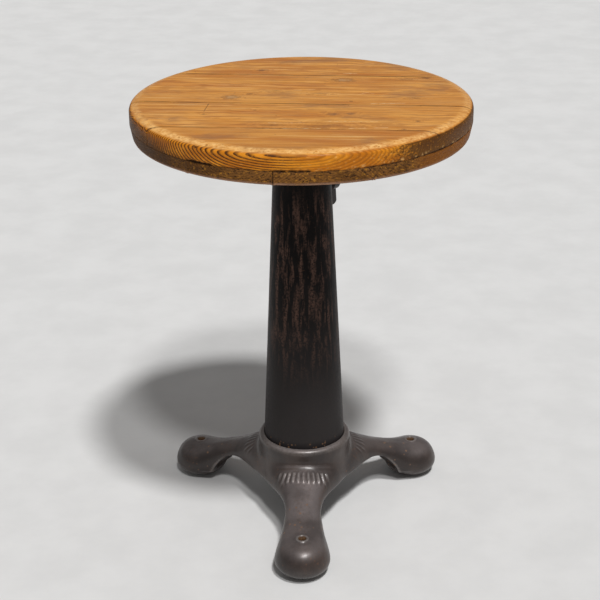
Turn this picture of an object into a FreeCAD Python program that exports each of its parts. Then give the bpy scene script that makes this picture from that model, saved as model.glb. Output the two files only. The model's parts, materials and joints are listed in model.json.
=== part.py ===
import FreeCAD, Part
import Sketcher
import math
import os
from types import SimpleNamespace

# A round-seated iron work stool: wooden seat that turns on a post, post that slides in a
# tapered column and is held by a wing screw, and a cast foot with three rounded toes.
# Millimetres, +Z up, origin on the floor under the centre of the seat, front toe on -Y.

Vector = FreeCAD.Vector
Z_UP = Vector(0, 0, 1)

# Driving dimensions: alias, size, what it is
DIMENSIONS = [
    ("seat_radius", 175.0, "outer radius of the round wooden seat"),
    ("upper_layer", 19.0, "thickness of the upper layer of boards"),
    ("lower_layer", 15.0, "thickness of the lower layer of boards"),
    ("edge_wear_width", 12.0, "width of the long worn slope at the top edge"),
    ("edge_wear_drop", 2.5, "how far that slope falls"),
    ("edge_corner_width", 3.0, "width of the tight rounding outside the slope"),
    ("edge_corner_drop", 4.6, "height of the tight rounding"),
    ("edge_corner_radius", 5.0, "radius of the tight rounding"),
    ("lower_taper", 2.4, "how far the lower layer draws in towards its bottom"),
    ("lower_round", 2.8, "rounding of the bottom edge of the seat"),
    ("grain_turn", -3.7, "angle of the upper boards to the X axis, degrees"),
    ("back_seam", 87.0, "place of the seam behind the middle of the seat"),
    ("middle_seam", -20.0, "place of the seam just before the middle"),
    ("front_seam", -103.0, "place of the front seam"),
    ("left_joint", -105.0, "left joint of the lower boards"),
    ("centre_joint", -23.0, "middle joint of the lower boards"),
    ("right_joint", 70.0, "right joint of the lower boards"),
    ("layer_screw_circle", 130.0, "radius of the circle of layer screws"),
    ("layer_screw_count", 8.0, "number of layer screws"),
    ("layer_screw_turn", 22.5, "angle of the first layer screw, degrees"),
    ("layer_screw_length", 28.0, "length of a layer screw"),
    ("layer_screw_head", 4.0, "head radius of a layer screw"),
    ("layer_screw_shank", 2.0, "shank radius of a layer screw"),
    ("flange_radius", 62.0, "radius of the iron flange under the seat"),
    ("flange_plate", 8.0, "thickness of the flange plate"),
    ("flange_hub_radius", 22.0, "radius of the flange hub"),
    ("flange_hub_length", 22.0, "length of the flange hub under the plate"),
    ("flange_root_radius", 8.0, "rounding between hub and plate"),
    ("flange_screw_circle", 50.0, "radius of the circle of flange screws"),
    ("flange_screw_count", 4.0, "number of flange screws"),
    ("flange_screw_length", 20.0, "length of a flange screw under its head"),
    ("flange_screw_head", 5.0, "head radius of a flange screw"),
    ("flange_screw_head_height", 3.0, "head height of a flange screw"),
    ("flange_screw_shank", 2.4, "shank radius of a flange screw"),
    ("spigot_radius", 10.0, "radius of the post spigot that the seat turns on"),
    ("running_clearance", 0.05, "radial clearance of running and sliding fits"),
    ("face_gap", 0.1, "play between faces that turn on each other"),
    ("landing_gap", 0.3, "gap over the bush when the seat is all the way down"),
    ("thrust_washer_radius", 18.0, "radius of the brass thrust washer"),
    ("thrust_washer_thick", 2.0, "thickness of the thrust washer"),
    ("end_play", 0.3, "play under the retaining washer"),
    ("retainer_radius", 13.0, "radius of the retaining washer"),
    ("retainer_thick", 2.0, "thickness of the retaining washer"),
    ("retainer_room", 1.5, "room round the retaining washer in its recess"),
    ("cap_screw_head", 6.5, "head radius of the retaining screw"),
    ("cap_screw_head_height", 4.0, "head height of the retaining screw"),
    ("cap_screw_shank", 4.0, "shank radius of the retaining screw"),
    ("cap_screw_length", 20.0, "length of the retaining screw under its head"),
    ("cap_screw_slot", 1.6, "width of the slot in the retaining screw"),
    ("post_radius", 14.0, "radius of the sliding post"),
    ("travel", 120.0, "how far the post and seat can be raised"),
    ("stop_ring_radius", 20.0, "radius of the stop ring on the post"),
    ("stop_ring_height", 12.0, "height of the stop ring"),
    ("post_tail", 8.0, "length of post below the stop ring"),
    ("stop_pin_radius", 2.5, "radius of the pin through ring and post"),
    ("bush_wall", 3.5, "wall of the brass neck bush"),
    ("bush_length", 60.0, "length of the bush, and of the thick neck of the column round it"),
    ("bush_flange_radius", 21.0, "radius of the bush flange"),
    ("bush_flange_thick", 3.6, "thickness of the bush flange"),
    ("column_top", 405.0, "height of the top of the iron column"),
    ("column_top_radius", 29.9, "radius of the column at its top"),
    ("column_foot_radius", 44.4, "radius of the column where it enters the collar"),
    ("column_top_round", 2.5, "rounding of the top edge of the column"),
    ("column_wall", 6.5, "wall of the hollow column"),
    ("column_ring_radius", 26.0, "inner radius of the ring at the foot of the column"),
    ("column_ring_height", 23.0, "height of that ring"),
    ("column_ring_slope", 10.0, "height of the slope over that ring"),
    ("clamp_drop", 32.0, "distance of the wing screw's axis below the top of the column"),
    ("clamp_azimuth", 50.0, "direction of the wing screw round the column, degrees"),
    ("clamp_boss_radius", 11.0, "radius of the boss for the wing screw"),
    ("clamp_boss_reach", 38.0, "distance of the boss face from the axis"),
    ("clamp_radius", 6.0, "radius of the wing screw and its pad"),
    ("clamp_pad_gap", 0.4, "gap between the pad and the post"),
    ("clamp_pad_length", 6.0, "length of the brass pad"),
    ("wing_hub_start", 41.0, "distance of the wing hub from the axis"),
    ("wing_hub_length", 13.0, "length of the wing hub"),
    ("wing_hub_radius", 9.0, "radius of the wing hub"),
    ("wing_hub_chamfer", 2.25, "chamfer of the ends of the wing hub"),
    ("wing_root", 9.36, "width of the wings where they leave the hub"),
    ("wing_root_height", 5.4, "distance from the screw axis where they leave it"),
    ("wing_span", 22.0, "distance of the wing ear centres from the screw axis"),
    ("wing_ear_radius", 6.2, "radius of a wing ear"),
    ("wing_ear_width", 11.8, "width of a wing ear at its centre"),
    ("wing_thick", 7.0, "thickness of the wings"),
    ("wing_round", 2.2, "rounding of the wing edges"),
    ("collar_top", 92.0, "height of the collar of the foot"),
    ("collar_radius", 51.0, "outer radius of the collar"),
    ("collar_round", 5.5, "rounding of the top of the collar"),
    ("collar_undercut", 0.8, "how far the collar draws in where it meets the shoulder"),
    ("collar_undercut_rise", 2.4, "height over which it draws in"),
    ("shoulder_height", 75.0, "height where collar and shoulder meet"),
    ("hub_radius", 55.2, "radius of the hub at the lip between two arms"),
    ("hub_cove_radius", 90.0, "radius of the hollow curve of the hub side"),
    ("socket_depth", 27.0, "how deep the column sits in the collar"),
    ("socket_clearance", 0.1, "radial clearance of the column in the collar"),
    ("ledge_thick", 8.0, "thickness of the ledge that carries the column"),
    ("ledge_opening", 24.0, "radius of the opening in the ledge"),
    ("hub_space_radius", 44.0, "radius of the hollow under the ledge"),
    ("arch_height", 43.5, "height of the roof of the arch under the foot"),
    ("arch_flat", 74.0, "radius where that roof starts to curve down"),
    ("foot_wall", 6.0, "wall of the arms"),
    ("root_along", 27.5, "root section: distance from the axis"),
    ("root_half_width", 45.6, "root section: half width"),
    ("root_side", 43.0, "root section: height of the widest place"),
    ("root_top", 84.0, "root section: height of the top"),
    ("shoulder_along", 60.0, "shoulder section: distance from the axis"),
    ("shoulder_half_width", 30.8, "shoulder section: half width"),
    ("shoulder_side", 43.0, "shoulder section: height of the widest place"),
    ("shoulder_top", 70.0, "shoulder section: height of the top"),
    ("waist_along", 95.0, "waist section: distance from the axis"),
    ("waist_half_width", 20.8, "waist section: half width"),
    ("waist_side", 34.0, "waist section: height of the widest place"),
    ("waist_top", 54.0, "waist section: height of the top"),
    ("neck_along", 118.0, "neck section: distance from the axis"),
    ("neck_half_width", 24.4, "neck section: half width"),
    ("neck_side", 19.0, "neck section: height of the widest place"),
    ("neck_top", 45.0, "neck section: height of the top"),
    ("toe_circle", 142.0, "radius of the circle through the toe centres"),
    ("toe_radius", 29.3, "radius of a toe"),
    ("toe_side", 13.0, "height of the widest place of a toe"),
    ("toe_top", 39.6, "height of the top of a toe"),
    ("tread_cut", 1.0, "how much the rounded underside of a toe is cut flat on the floor"),
    ("toe_gap", 0.6, "how far the arch stays clear of the ball of a toe"),
    ("channel_end", 100.0, "distance from the axis where the hollow of an arm ends"),
    ("toe_boss_radius", 6.2, "radius of the raised ring round a floor screw hole"),
    ("toe_boss_rise", 0.7, "rise of that ring over the toe"),
    ("floor_screw_radius", 3.3, "radius of a floor screw hole"),
    ("floor_screw_sink", 5.0, "radius of the countersink of a floor screw hole"),
    ("floor_screw_sink_depth", 1.8, "depth of that countersink"),
    ("bolt_circle", 34.5, "radius of the circle of column bolts"),
    ("bolt_azimuth", 90.0, "direction of the first column bolt, degrees"),
    ("bolt_radius", 4.0, "shank radius of a column bolt"),
    ("bolt_head_width", 13.0, "width of a bolt head across its flats"),
    ("bolt_head_height", 5.3, "height of a bolt head"),
    ("bolt_grip", 16.0, "length of bolt inside the column"),
    ("bolt_hole_clearance", 0.4, "radial clearance of the bolts in the ledge"),
    ("bolt_washer_radius", 8.0, "radius of a bolt washer"),
    ("bolt_washer_thick", 1.6, "thickness of a bolt washer"),
]

# Toes, arms and column bolts come in threes
LEGS = 3

# Shape of the arm sections: exponents of the upper and lower halves of the oval, and the
# angles of the points that a half of it is drawn through
UPPER_FULLNESS = 2.4
LOWER_FULLNESS = 1.8
OVAL_ANGLES = (-90, -60, -30, 0, 18, 36, 54, 72, 90)

# A face whose normal has at least this much of a direction looks that way
FACING = 0.99


class Size:
    """A length with its value and the sheet expression that it comes from."""

    def __init__(self, value, text):
        self.value = value
        self.text = text

    def joined(self, other, sign, value):
        return Size(value, "(%s %s %s)" % (self.text, sign, other.text))

    def __add__(self, other):
        other = as_size(other)
        return self.joined(other, "+", self.value + other.value)

    def __sub__(self, other):
        other = as_size(other)
        return self.joined(other, "-", self.value - other.value)

    def __mul__(self, other):
        other = as_size(other)
        return self.joined(other, "*", self.value * other.value)

    def __truediv__(self, other):
        other = as_size(other)
        return self.joined(other, "/", self.value / other.value)

    def __neg__(self):
        return Size(-self.value, "(-%s)" % self.text)


def as_size(number):
    if isinstance(number, Size):
        return number
    return Size(float(number), repr(float(number)))


def cosine(angle):
    return Size(math.cos(math.radians(angle.value)), "cos(%s)" % angle.text)


def sine(angle):
    return Size(math.sin(math.radians(angle.value)), "sin(%s)" % angle.text)


def root(size):
    return Size(math.sqrt(size.value), "sqrt(%s)" % size.text)


def written_sheet(document):
    """Write the driving dimensions and return them as sizes."""
    sheet = document.addObject("Spreadsheet::Sheet", "Dims")
    for row, (alias, value, note) in enumerate(DIMENSIONS, start=1):
        sheet.set("A%d" % row, note)
        sheet.set("B%d" % row, repr(value))
        sheet.setAlias("B%d" % row, alias)
    document.recompute()
    sizes = {}
    for alias, value, note in DIMENSIONS:
        sizes[alias] = Size(float(getattr(sheet, alias)), "Dims.%s" % alias)
    return SimpleNamespace(**sizes)


doc = FreeCAD.newDocument("stool")
dim = written_sheet(doc)

# Heights that follow from the stack of pieces, from the column upwards
bush_top = dim.column_top + dim.bush_flange_thick
thrust_bottom = bush_top + dim.landing_gap
thrust_top = thrust_bottom + dim.thrust_washer_thick
hub_bottom = thrust_top + dim.face_gap
plate_bottom = hub_bottom + dim.flange_hub_length
seat_underside = plate_bottom + dim.flange_plate
layer_height = seat_underside + dim.lower_layer
seat_top = layer_height + dim.upper_layer
retainer_bottom = plate_bottom + dim.end_play
retainer_top = retainer_bottom + dim.retainer_thick

# Heights and radii of the neck, the stop and the socket
bush_bottom = dim.column_top - dim.bush_length
clamp_height = dim.column_top - dim.clamp_drop
bush_radius = dim.post_radius + dim.running_clearance + dim.bush_wall
ring_top = bush_bottom - dim.travel - dim.face_gap
ring_bottom = ring_top - dim.stop_ring_height
post_bottom = ring_bottom - dim.post_tail
socket_floor = dim.collar_top - dim.socket_depth
ledge_bottom = socket_floor - dim.ledge_thick
cone_rise = dim.column_top - dim.collar_top
cone_slope = (dim.column_foot_radius - dim.column_top_radius) / cone_rise


def column_radius(height):
    """Outer radius of the tapered column at a height above its collar."""
    return dim.column_foot_radius - cone_slope * (height - dim.collar_top)


def arch_limit():
    """How far out the arch reaches below the widest place of a toe."""
    return dim.toe_circle - dim.toe_radius - dim.toe_gap


def origin_feature(body, role):
    """The plane or axis of a body's own origin with this role."""
    for feature in body.Origin.OriginFeatures:
        if feature.Role == role:
            return feature
    raise ValueError(role)


def new_body(name, several=False):
    body = doc.addObject("PartDesign::Body", name)
    body.Label = name
    body.AllowCompound = several
    return body


def attached_sketch(body, name, role):
    sketch = body.newObject("Sketcher::SketchObject", name)
    sketch.AttachmentSupport = [(origin_feature(body, role), "")]
    sketch.MapMode = "FlatFace"
    return sketch


def fix_point(sketch, geometry, point, x, y):
    """Tie one point of a sketch to the sheet, measured from the sketch origin."""
    for size, kind, axis in ((x, "DistanceX", -2), (y, "DistanceY", -1)):
        if size.value == 0 and "Dims" not in size.text:
            sketch.addConstraint(Sketcher.Constraint("PointOnObject", geometry, point, axis))
            continue
        index = sketch.addConstraint(
            Sketcher.Constraint(kind, -1, 1, geometry, point, size.value))
        sketch.setExpression("Constraints[%d]" % index, size.text)


def arc_between(start, end, radius, side):
    """An arc from start to end whose centre lies left or right of the way there."""
    chord = end - start
    half = chord.Length / 2
    height = math.sqrt(max(radius * radius - half * half, 0.0))
    across = Vector(-chord.y, chord.x, 0).normalize()
    if side == "right":
        across = -across
    centre = (start + end) * 0.5 + across * height
    first, last = (start, end) if side == "left" else (end, start)
    first_angle = math.atan2(first.y - centre.y, first.x - centre.x)
    last_angle = math.atan2(last.y - centre.y, last.x - centre.x)
    if last_angle < first_angle:
        last_angle += 2 * math.pi
    circle = Part.Circle(centre, Z_UP, radius)
    return Part.ArcOfCircle(circle, first_angle, last_angle)


def draw_outline(sketch, outline):
    """Draw a closed outline; a corner is (x, y), or (x, y, side, radius) before an arc."""
    corners = [(as_size(corner[0]), as_size(corner[1])) for corner in outline]
    places = [Vector(x.value, y.value, 0) for x, y in corners]
    count = len(outline)
    starts = []
    ends = []
    for index, corner in enumerate(outline):
        start, end = places[index], places[(index + 1) % count]
        if len(corner) == 2:
            sketch.addGeometry(Part.LineSegment(start, end), False)
            starts.append(1)
            ends.append(2)
            continue
        side, radius = corner[2], as_size(corner[3])
        sketch.addGeometry(arc_between(start, end, radius.value, side), False)
        starts.append(1 if side == "left" else 2)
        ends.append(2 if side == "left" else 1)
    for index in range(count):
        following = (index + 1) % count
        sketch.addConstraint(Sketcher.Constraint(
            "Coincident", index, ends[index], following, starts[following]))
    for index, (x, y) in enumerate(corners):
        fix_point(sketch, index, starts[index], x, y)
    for index, corner in enumerate(outline):
        if len(corner) == 2:
            continue
        radius = as_size(corner[3])
        number = sketch.addConstraint(Sketcher.Constraint("Radius", index, radius.value))
        sketch.setExpression("Constraints[%d]" % number, radius.text)


def draw_circle(sketch, x, y, radius):
    x, y, radius = as_size(x), as_size(y), as_size(radius)
    centre = Vector(x.value, y.value, 0)
    index = sketch.addGeometry(Part.Circle(centre, Z_UP, radius.value), False)
    fix_point(sketch, index, 3, x, y)
    number = sketch.addConstraint(Sketcher.Constraint("Radius", index, radius.value))
    sketch.setExpression("Constraints[%d]" % number, radius.text)


def turned(body, name, outline, kind="Revolution", role="XZ_Plane", axis="V_Axis"):
    """Turn a closed outline round an axis of its sketch; kind Groove cuts instead."""
    sketch = attached_sketch(body, name + "_profile", role)
    draw_outline(sketch, outline)
    feature = body.newObject("PartDesign::" + kind, name)
    feature.Profile = sketch
    feature.ReferenceAxis = (sketch, [axis])
    feature.Angle = 360
    body.Tip = feature
    return feature


def turned_piece(name, outline, role="XZ_Plane", axis="V_Axis"):
    body = new_body(name)
    turned(body, name + "_turned", outline, role=role, axis=axis)
    return body


def bound(feature, **sizes):
    """Tie properties of a feature to the sheet."""
    for name, size in sizes.items():
        setattr(feature, name, as_size(size).value)
        feature.setExpression(name, as_size(size).text)


def polar(body, name, features, count):
    """Repeat features of a body evenly round its Z axis."""
    pattern = body.newObject("PartDesign::PolarPattern", name)
    pattern.Originals = features
    pattern.Axis = (origin_feature(body, "Z_Axis"), [""])
    pattern.Angle = 360
    pattern.Occurrences = int(round(as_size(count).value))
    if isinstance(count, Size):
        pattern.setExpression("Occurrences", count.text)
    body.Tip = pattern
    return pattern


def turned_set(name, outline, circle, count, azimuth):
    """A set of equal turned pieces on a circle, standing on axes along Z."""
    body = new_body(name, several=True)
    sketch = attached_sketch(body, name + "_profile", "XZ_Plane")
    placed = [(circle + corner[0],) + tuple(corner[1:]) for corner in outline]
    draw_outline(sketch, placed)
    low, high = as_size(outline[0][1]), as_size(outline[-1][1])
    place = Vector(circle.value, 0, 0)
    line = Part.LineSegment(place + Vector(0, low.value, 0), place + Vector(0, high.value, 0))
    axis = sketch.addGeometry(line, True)
    last = len(outline) - 1
    sketch.addConstraint(Sketcher.Constraint("Coincident", axis, 1, 0, 1))
    sketch.addConstraint(Sketcher.Constraint("Coincident", axis, 2, last, 1))
    feature = body.newObject("PartDesign::Revolution", name + "_turned")
    feature.Profile = sketch
    feature.ReferenceAxis = (sketch, ["Axis0"])
    feature.Angle = 360
    body.Tip = feature
    doc.recompute()
    polar(body, name + "_ring", [feature], count)
    azimuth = as_size(azimuth)
    body.Placement = FreeCAD.Placement(Vector(0, 0, 0), FreeCAD.Rotation(Z_UP, azimuth.value))
    body.setExpression("Placement.Rotation.Angle", azimuth.text)
    return body


def cut(name, base, *tools):
    """Take tools away from a base, one after the other."""
    for index, tool in enumerate(tools):
        result = doc.addObject("Part::Cut", "%s_cut_%d" % (name, index + 1))
        result.Base = base
        result.Tool = tool
        base = result
    base.Label = name
    return base


def form(name, shape):
    """A solid whose surface is built from the sheet's sizes by this file's own functions."""
    feature = doc.addObject("Part::Feature", name)
    feature.Shape = shape
    feature.Label = name
    return feature


# Seat: two crossed layers of boards under one turned outline

def layer_form_upper():
    wear_start = dim.seat_radius - dim.edge_wear_width - dim.edge_corner_width
    wear_end = dim.seat_radius - dim.edge_corner_width
    wear_height = seat_top - dim.edge_wear_drop
    wear_radius = (dim.edge_wear_width * dim.edge_wear_width
                   + dim.edge_wear_drop * dim.edge_wear_drop) / (dim.edge_wear_drop * 2)
    outline = [
        (0, layer_height),
        (dim.seat_radius, layer_height),
        (dim.seat_radius, wear_height - dim.edge_corner_drop, "left", dim.edge_corner_radius),
        (wear_end, wear_height, "left", wear_radius),
        (wear_start, seat_top),
        (0, seat_top),
    ]
    return turned_piece("upper_layer_form", outline)


def layer_form_lower():
    low_radius = dim.seat_radius - dim.lower_taper
    outline = [
        (0, seat_underside),
        (low_radius - dim.lower_round, seat_underside, "left", dim.lower_round),
        (low_radius, seat_underside + dim.lower_round),
        (dim.seat_radius, layer_height),
        (0, layer_height),
    ]
    return turned_piece("lower_layer_form", outline)


def strip(name, low, high, turn, bottom, thickness, across):
    """A straight band between two seams, longer and taller than the layer that it cuts."""
    reach = dim.seat_radius + dim.upper_layer
    box = doc.addObject("Part::Box", name)
    width = high - low
    if across:
        bound(box, Length=width, Width=reach * 2, Height=thickness * 3)
        x, y = low, -reach
    else:
        bound(box, Length=reach * 2, Width=width, Height=thickness * 3)
        x, y = -reach, low
    place_x = x * cosine(turn) - y * sine(turn)
    place_y = x * sine(turn) + y * cosine(turn)
    place_z = bottom - thickness
    box.Placement = FreeCAD.Placement(
        Vector(place_x.value, place_y.value, place_z.value), FreeCAD.Rotation(Z_UP, turn.value))
    for key, size in (("x", place_x), ("y", place_y), ("z", place_z)):
        box.setExpression("Placement.Base." + key, size.text)
    box.setExpression("Placement.Rotation.Angle", turn.text)
    return box


def boards(names, layer, seams, turn, bottom, thickness, across, spaces):
    """Cut one layer into boards at its seams and clear the screws that pass through them."""
    reach = dim.seat_radius + dim.upper_layer
    edges = [-reach] + seams + [reach]
    pieces = []
    for index, name in enumerate(names):
        band = strip(name + "_band", edges[index], edges[index + 1], turn, bottom,
                     thickness, across)
        board = doc.addObject("Part::Common", name + "_board")
        board.Base = layer
        board.Tool = band
        pieces.append(cut(name, board, *spaces))
    return pieces


def layer_screw_outline(clearance):
    tip = dim.layer_screw_shank * 2
    bottom = seat_underside
    top = bottom + dim.layer_screw_length + clearance
    shank = dim.layer_screw_shank + clearance
    head = dim.layer_screw_head + clearance
    return [
        (0, bottom),
        (head, bottom),
        (shank, bottom + dim.layer_screw_head - dim.layer_screw_shank),
        (shank, top - tip),
        (0, top),
    ]


def layer_screws(name, clearance):
    outline = layer_screw_outline(clearance)
    return turned_set(name, outline, dim.layer_screw_circle, dim.layer_screw_count,
                      dim.layer_screw_turn)


def flange_screw_outline(clearance):
    head_low = plate_bottom - dim.flange_screw_head_height
    dome = (dim.flange_screw_head * dim.flange_screw_head
            + dim.flange_screw_head_height * dim.flange_screw_head_height
            ) / (dim.flange_screw_head_height * 2)
    tip = dim.flange_screw_shank * 2
    top = plate_bottom + dim.flange_screw_length + clearance
    shank = dim.flange_screw_shank + clearance
    return [
        (0, head_low, "left", dome),
        (dim.flange_screw_head, plate_bottom),
        (shank, plate_bottom),
        (shank, top - tip),
        (0, top),
    ]


def flange_screws(name, clearance):
    outline = flange_screw_outline(clearance)
    azimuth = Size(180.0, "180") / dim.flange_screw_count
    return turned_set(name, outline, dim.flange_screw_circle, dim.flange_screw_count, azimuth)


def seat_flange():
    body = new_body("seat_flange_form")
    bore = dim.spigot_radius + dim.running_clearance
    recess = dim.retainer_radius + dim.retainer_room
    rounding = dim.flange_root_radius
    outline = [
        (bore, hub_bottom),
        (dim.flange_hub_radius, hub_bottom),
        (dim.flange_hub_radius, plate_bottom - rounding, "right", rounding),
        (dim.flange_hub_radius + rounding, plate_bottom),
        (dim.flange_radius, plate_bottom),
        (dim.flange_radius, seat_underside),
        (recess, seat_underside),
        (recess, plate_bottom),
        (bore, plate_bottom),
    ]
    turned(body, "flange_turned", outline)
    return body


# Post: what slides in the column and carries the seat

def seat_post():
    body = new_body("seat_post")
    thread = dim.cap_screw_shank + dim.running_clearance
    thread_bottom = retainer_top - dim.cap_screw_length - dim.end_play
    outline = [
        (0, post_bottom),
        (dim.post_radius, post_bottom),
        (dim.post_radius, thrust_bottom),
        (dim.spigot_radius, thrust_bottom),
        (dim.spigot_radius, retainer_bottom),
        (thread, retainer_bottom),
        (thread, thread_bottom),
        (0, thread_bottom),
    ]
    turned(body, "post_turned", outline)
    pin_bore(body, "post_pin_bore", dim.post_radius)
    return body


def pin_bore(body, name, reach):
    """A cross bore for the stop pin, through the whole piece."""
    sketch = attached_sketch(body, name + "_circle", "YZ_Plane")
    height = (ring_bottom + ring_top) / 2
    draw_circle(sketch, 0, height, dim.stop_pin_radius + dim.running_clearance)
    pocket = body.newObject("PartDesign::Pocket", name)
    pocket.Profile = sketch
    pocket.Midplane = True
    bound(pocket, Length=reach * 4)
    body.Tip = pocket


def stop_ring():
    body = new_body("stop_ring")
    bore = dim.post_radius + dim.running_clearance
    outline = [
        (bore, ring_bottom),
        (dim.stop_ring_radius, ring_bottom),
        (dim.stop_ring_radius, ring_top),
        (bore, ring_top),
    ]
    turned(body, "ring_turned", outline)
    pin_bore(body, "ring_pin_bore", dim.stop_ring_radius)
    return body


def stop_pin():
    body = new_body("stop_ring_pin")
    sketch = attached_sketch(body, "pin_circle", "YZ_Plane")
    height = (ring_bottom + ring_top) / 2
    draw_circle(sketch, 0, height, dim.stop_pin_radius)
    pad = body.newObject("PartDesign::Pad", "pin_rod")
    pad.Profile = sketch
    pad.Midplane = True
    bound(pad, Length=(dim.stop_ring_radius - dim.running_clearance) * 2)
    return body


def washer(name, inner, outer, low, thickness):
    outline = [
        (inner, low),
        (outer, low),
        (outer, low + thickness),
        (inner, low + thickness),
    ]
    return turned_piece(name, outline)


def retaining_screw():
    body = new_body("retaining_screw")
    head_top = retainer_top + dim.cap_screw_head_height
    outline = [
        (0, retainer_top - dim.cap_screw_length),
        (dim.cap_screw_shank, retainer_top - dim.cap_screw_length),
        (dim.cap_screw_shank, retainer_top),
        (dim.cap_screw_head, retainer_top),
        (dim.cap_screw_head, head_top),
        (0, head_top),
    ]
    turned(body, "screw_turned", outline)
    sketch = attached_sketch(body, "slot_outline", "XZ_Plane")
    half_slot = dim.cap_screw_slot / 2
    slot_floor = head_top - dim.cap_screw_head_height / 2
    draw_outline(sketch, [
        (-half_slot, slot_floor),
        (half_slot, slot_floor),
        (half_slot, head_top + half_slot),
        (-half_slot, head_top + half_slot),
    ])
    slot = body.newObject("PartDesign::Pocket", "slot")
    slot.Profile = sketch
    slot.Midplane = True
    bound(slot, Length=dim.cap_screw_head * 4)
    body.Tip = slot
    return body


# Column: tapered, hollow, with a thick neck, a bush and a wing screw

def clamp_sketch(body, name, radius):
    """A circle round the wing screw's axis, on a plane that faces its direction."""
    sketch = attached_sketch(body, name, "YZ_Plane")
    turn = FreeCAD.Rotation(Vector(0, 1, 0), dim.clamp_azimuth.value)
    sketch.AttachmentOffset = FreeCAD.Placement(Vector(0, 0, 0), turn)
    sketch.setExpression("AttachmentOffset.Rotation.Angle", dim.clamp_azimuth.text)
    draw_circle(sketch, 0, clamp_height, radius)
    return sketch


def clamp_bore(body, name):
    """The bore for the wing screw and its pad, from the axis outwards."""
    sketch = clamp_sketch(body, name + "_circle", dim.clamp_radius + dim.running_clearance)
    pocket = body.newObject("PartDesign::Pocket", name)
    pocket.Profile = sketch
    pocket.Reversed = True
    bound(pocket, Length=dim.clamp_boss_reach * 2)
    body.Tip = pocket


def column():
    body = new_body("column_form")
    top_radius = dim.column_top_radius
    rounding = dim.column_top_round
    outline = [
        (0, socket_floor),
        (dim.column_foot_radius, socket_floor),
        (dim.column_foot_radius, dim.collar_top),
        (column_radius(dim.column_top - rounding), dim.column_top - rounding, "left", rounding),
        (top_radius - rounding, dim.column_top),
        (0, dim.column_top),
    ]
    turned(body, "column_turned", outline)
    boss = body.newObject("PartDesign::Pad", "clamp_boss")
    boss.Profile = clamp_sketch(body, "boss_circle", dim.clamp_boss_radius)
    bound(boss, Length=dim.clamp_boss_reach)
    body.Tip = boss
    doc.recompute()
    ring_height = socket_floor + dim.column_ring_height
    ring_slope_top = ring_height + dim.column_ring_slope
    bore = bush_radius + dim.running_clearance
    hollow = [
        (0, socket_floor),
        (dim.column_ring_radius, socket_floor),
        (dim.column_ring_radius, ring_height),
        (column_radius(ring_slope_top) - dim.column_wall, ring_slope_top),
        (column_radius(bush_bottom) - dim.column_wall, bush_bottom),
        (bore, bush_bottom),
        (bore, dim.column_top),
        (0, dim.column_top),
    ]
    turned(body, "column_hollow", hollow, kind="Groove")
    clamp_bore(body, "column_clamp_bore")
    return body


def neck_bush():
    body = new_body("neck_bush")
    bore = dim.post_radius + dim.running_clearance
    outline = [
        (bore, bush_bottom),
        (bush_radius, bush_bottom),
        (bush_radius, dim.column_top),
        (dim.bush_flange_radius, dim.column_top),
        (dim.bush_flange_radius, bush_top),
        (bore, bush_top),
    ]
    turned(body, "bush_turned", outline)
    clamp_bore(body, "bush_clamp_bore")
    return body


def aim_at_clamp(body):
    """Turn a piece that lies along X to the wing screw's direction and height."""
    body.Placement = FreeCAD.Placement(
        Vector(0, 0, clamp_height.value), FreeCAD.Rotation(Z_UP, dim.clamp_azimuth.value))
    body.setExpression("Placement.Base.z", clamp_height.text)
    body.setExpression("Placement.Rotation.Angle", dim.clamp_azimuth.text)
    return body


def clamp_pad():
    face = dim.post_radius + dim.clamp_pad_gap
    outline = [
        (face, 0),
        (face + dim.clamp_pad_length, 0),
        (face + dim.clamp_pad_length, dim.clamp_radius),
        (face, dim.clamp_radius),
    ]
    return aim_at_clamp(turned_piece("clamp_pad", outline, axis="H_Axis"))


def clamp_screw():
    body = new_body("clamp_wing_screw")
    start = dim.post_radius + dim.clamp_pad_gap + dim.clamp_pad_length
    hub_start = dim.wing_hub_start
    hub_end = hub_start + dim.wing_hub_length
    ear = dim.wing_ear_radius
    middle = (hub_start + hub_end) / 2
    inner = middle - dim.wing_ear_width / 2
    outer = middle + dim.wing_ear_width / 2
    waist = dim.wing_root / 2
    sketch = attached_sketch(body, "wing_outline", "XZ_Plane")
    draw_outline(sketch, [
        (middle - waist, -dim.wing_root_height),
        (inner, -dim.wing_span, "left", ear),
        (outer, -dim.wing_span),
        (middle + waist, -dim.wing_root_height),
        (middle + waist, dim.wing_root_height),
        (outer, dim.wing_span, "left", ear),
        (inner, dim.wing_span),
        (middle - waist, dim.wing_root_height),
    ])
    wings = body.newObject("PartDesign::Pad", "wings")
    wings.Profile = sketch
    wings.Midplane = True
    bound(wings, Length=dim.wing_thick)
    body.Tip = wings
    doc.recompute()
    rounded = body.newObject("PartDesign::Fillet", "wing_rounding")
    rounded.Base = (wings, ["Face%d" % (index + 1) for index, face
                            in enumerate(wings.Shape.Faces)
                            if abs(face.normalAt(0, 0).y) > FACING])
    bound(rounded, Radius=dim.wing_round)
    body.Tip = rounded
    doc.recompute()
    chamfer = dim.wing_hub_chamfer
    hub = [
        (start, 0),
        (start, dim.clamp_radius),
        (hub_start, dim.clamp_radius),
        (hub_start + chamfer, dim.wing_hub_radius),
        (hub_end - chamfer, dim.wing_hub_radius),
        (hub_end, dim.wing_hub_radius - chamfer),
        (hub_end, 0),
    ]
    turned(body, "screw_turned_part", hub, axis="H_Axis")
    return aim_at_clamp(body)


# Foot: one casting with a collar, three arms and three toes

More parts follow.
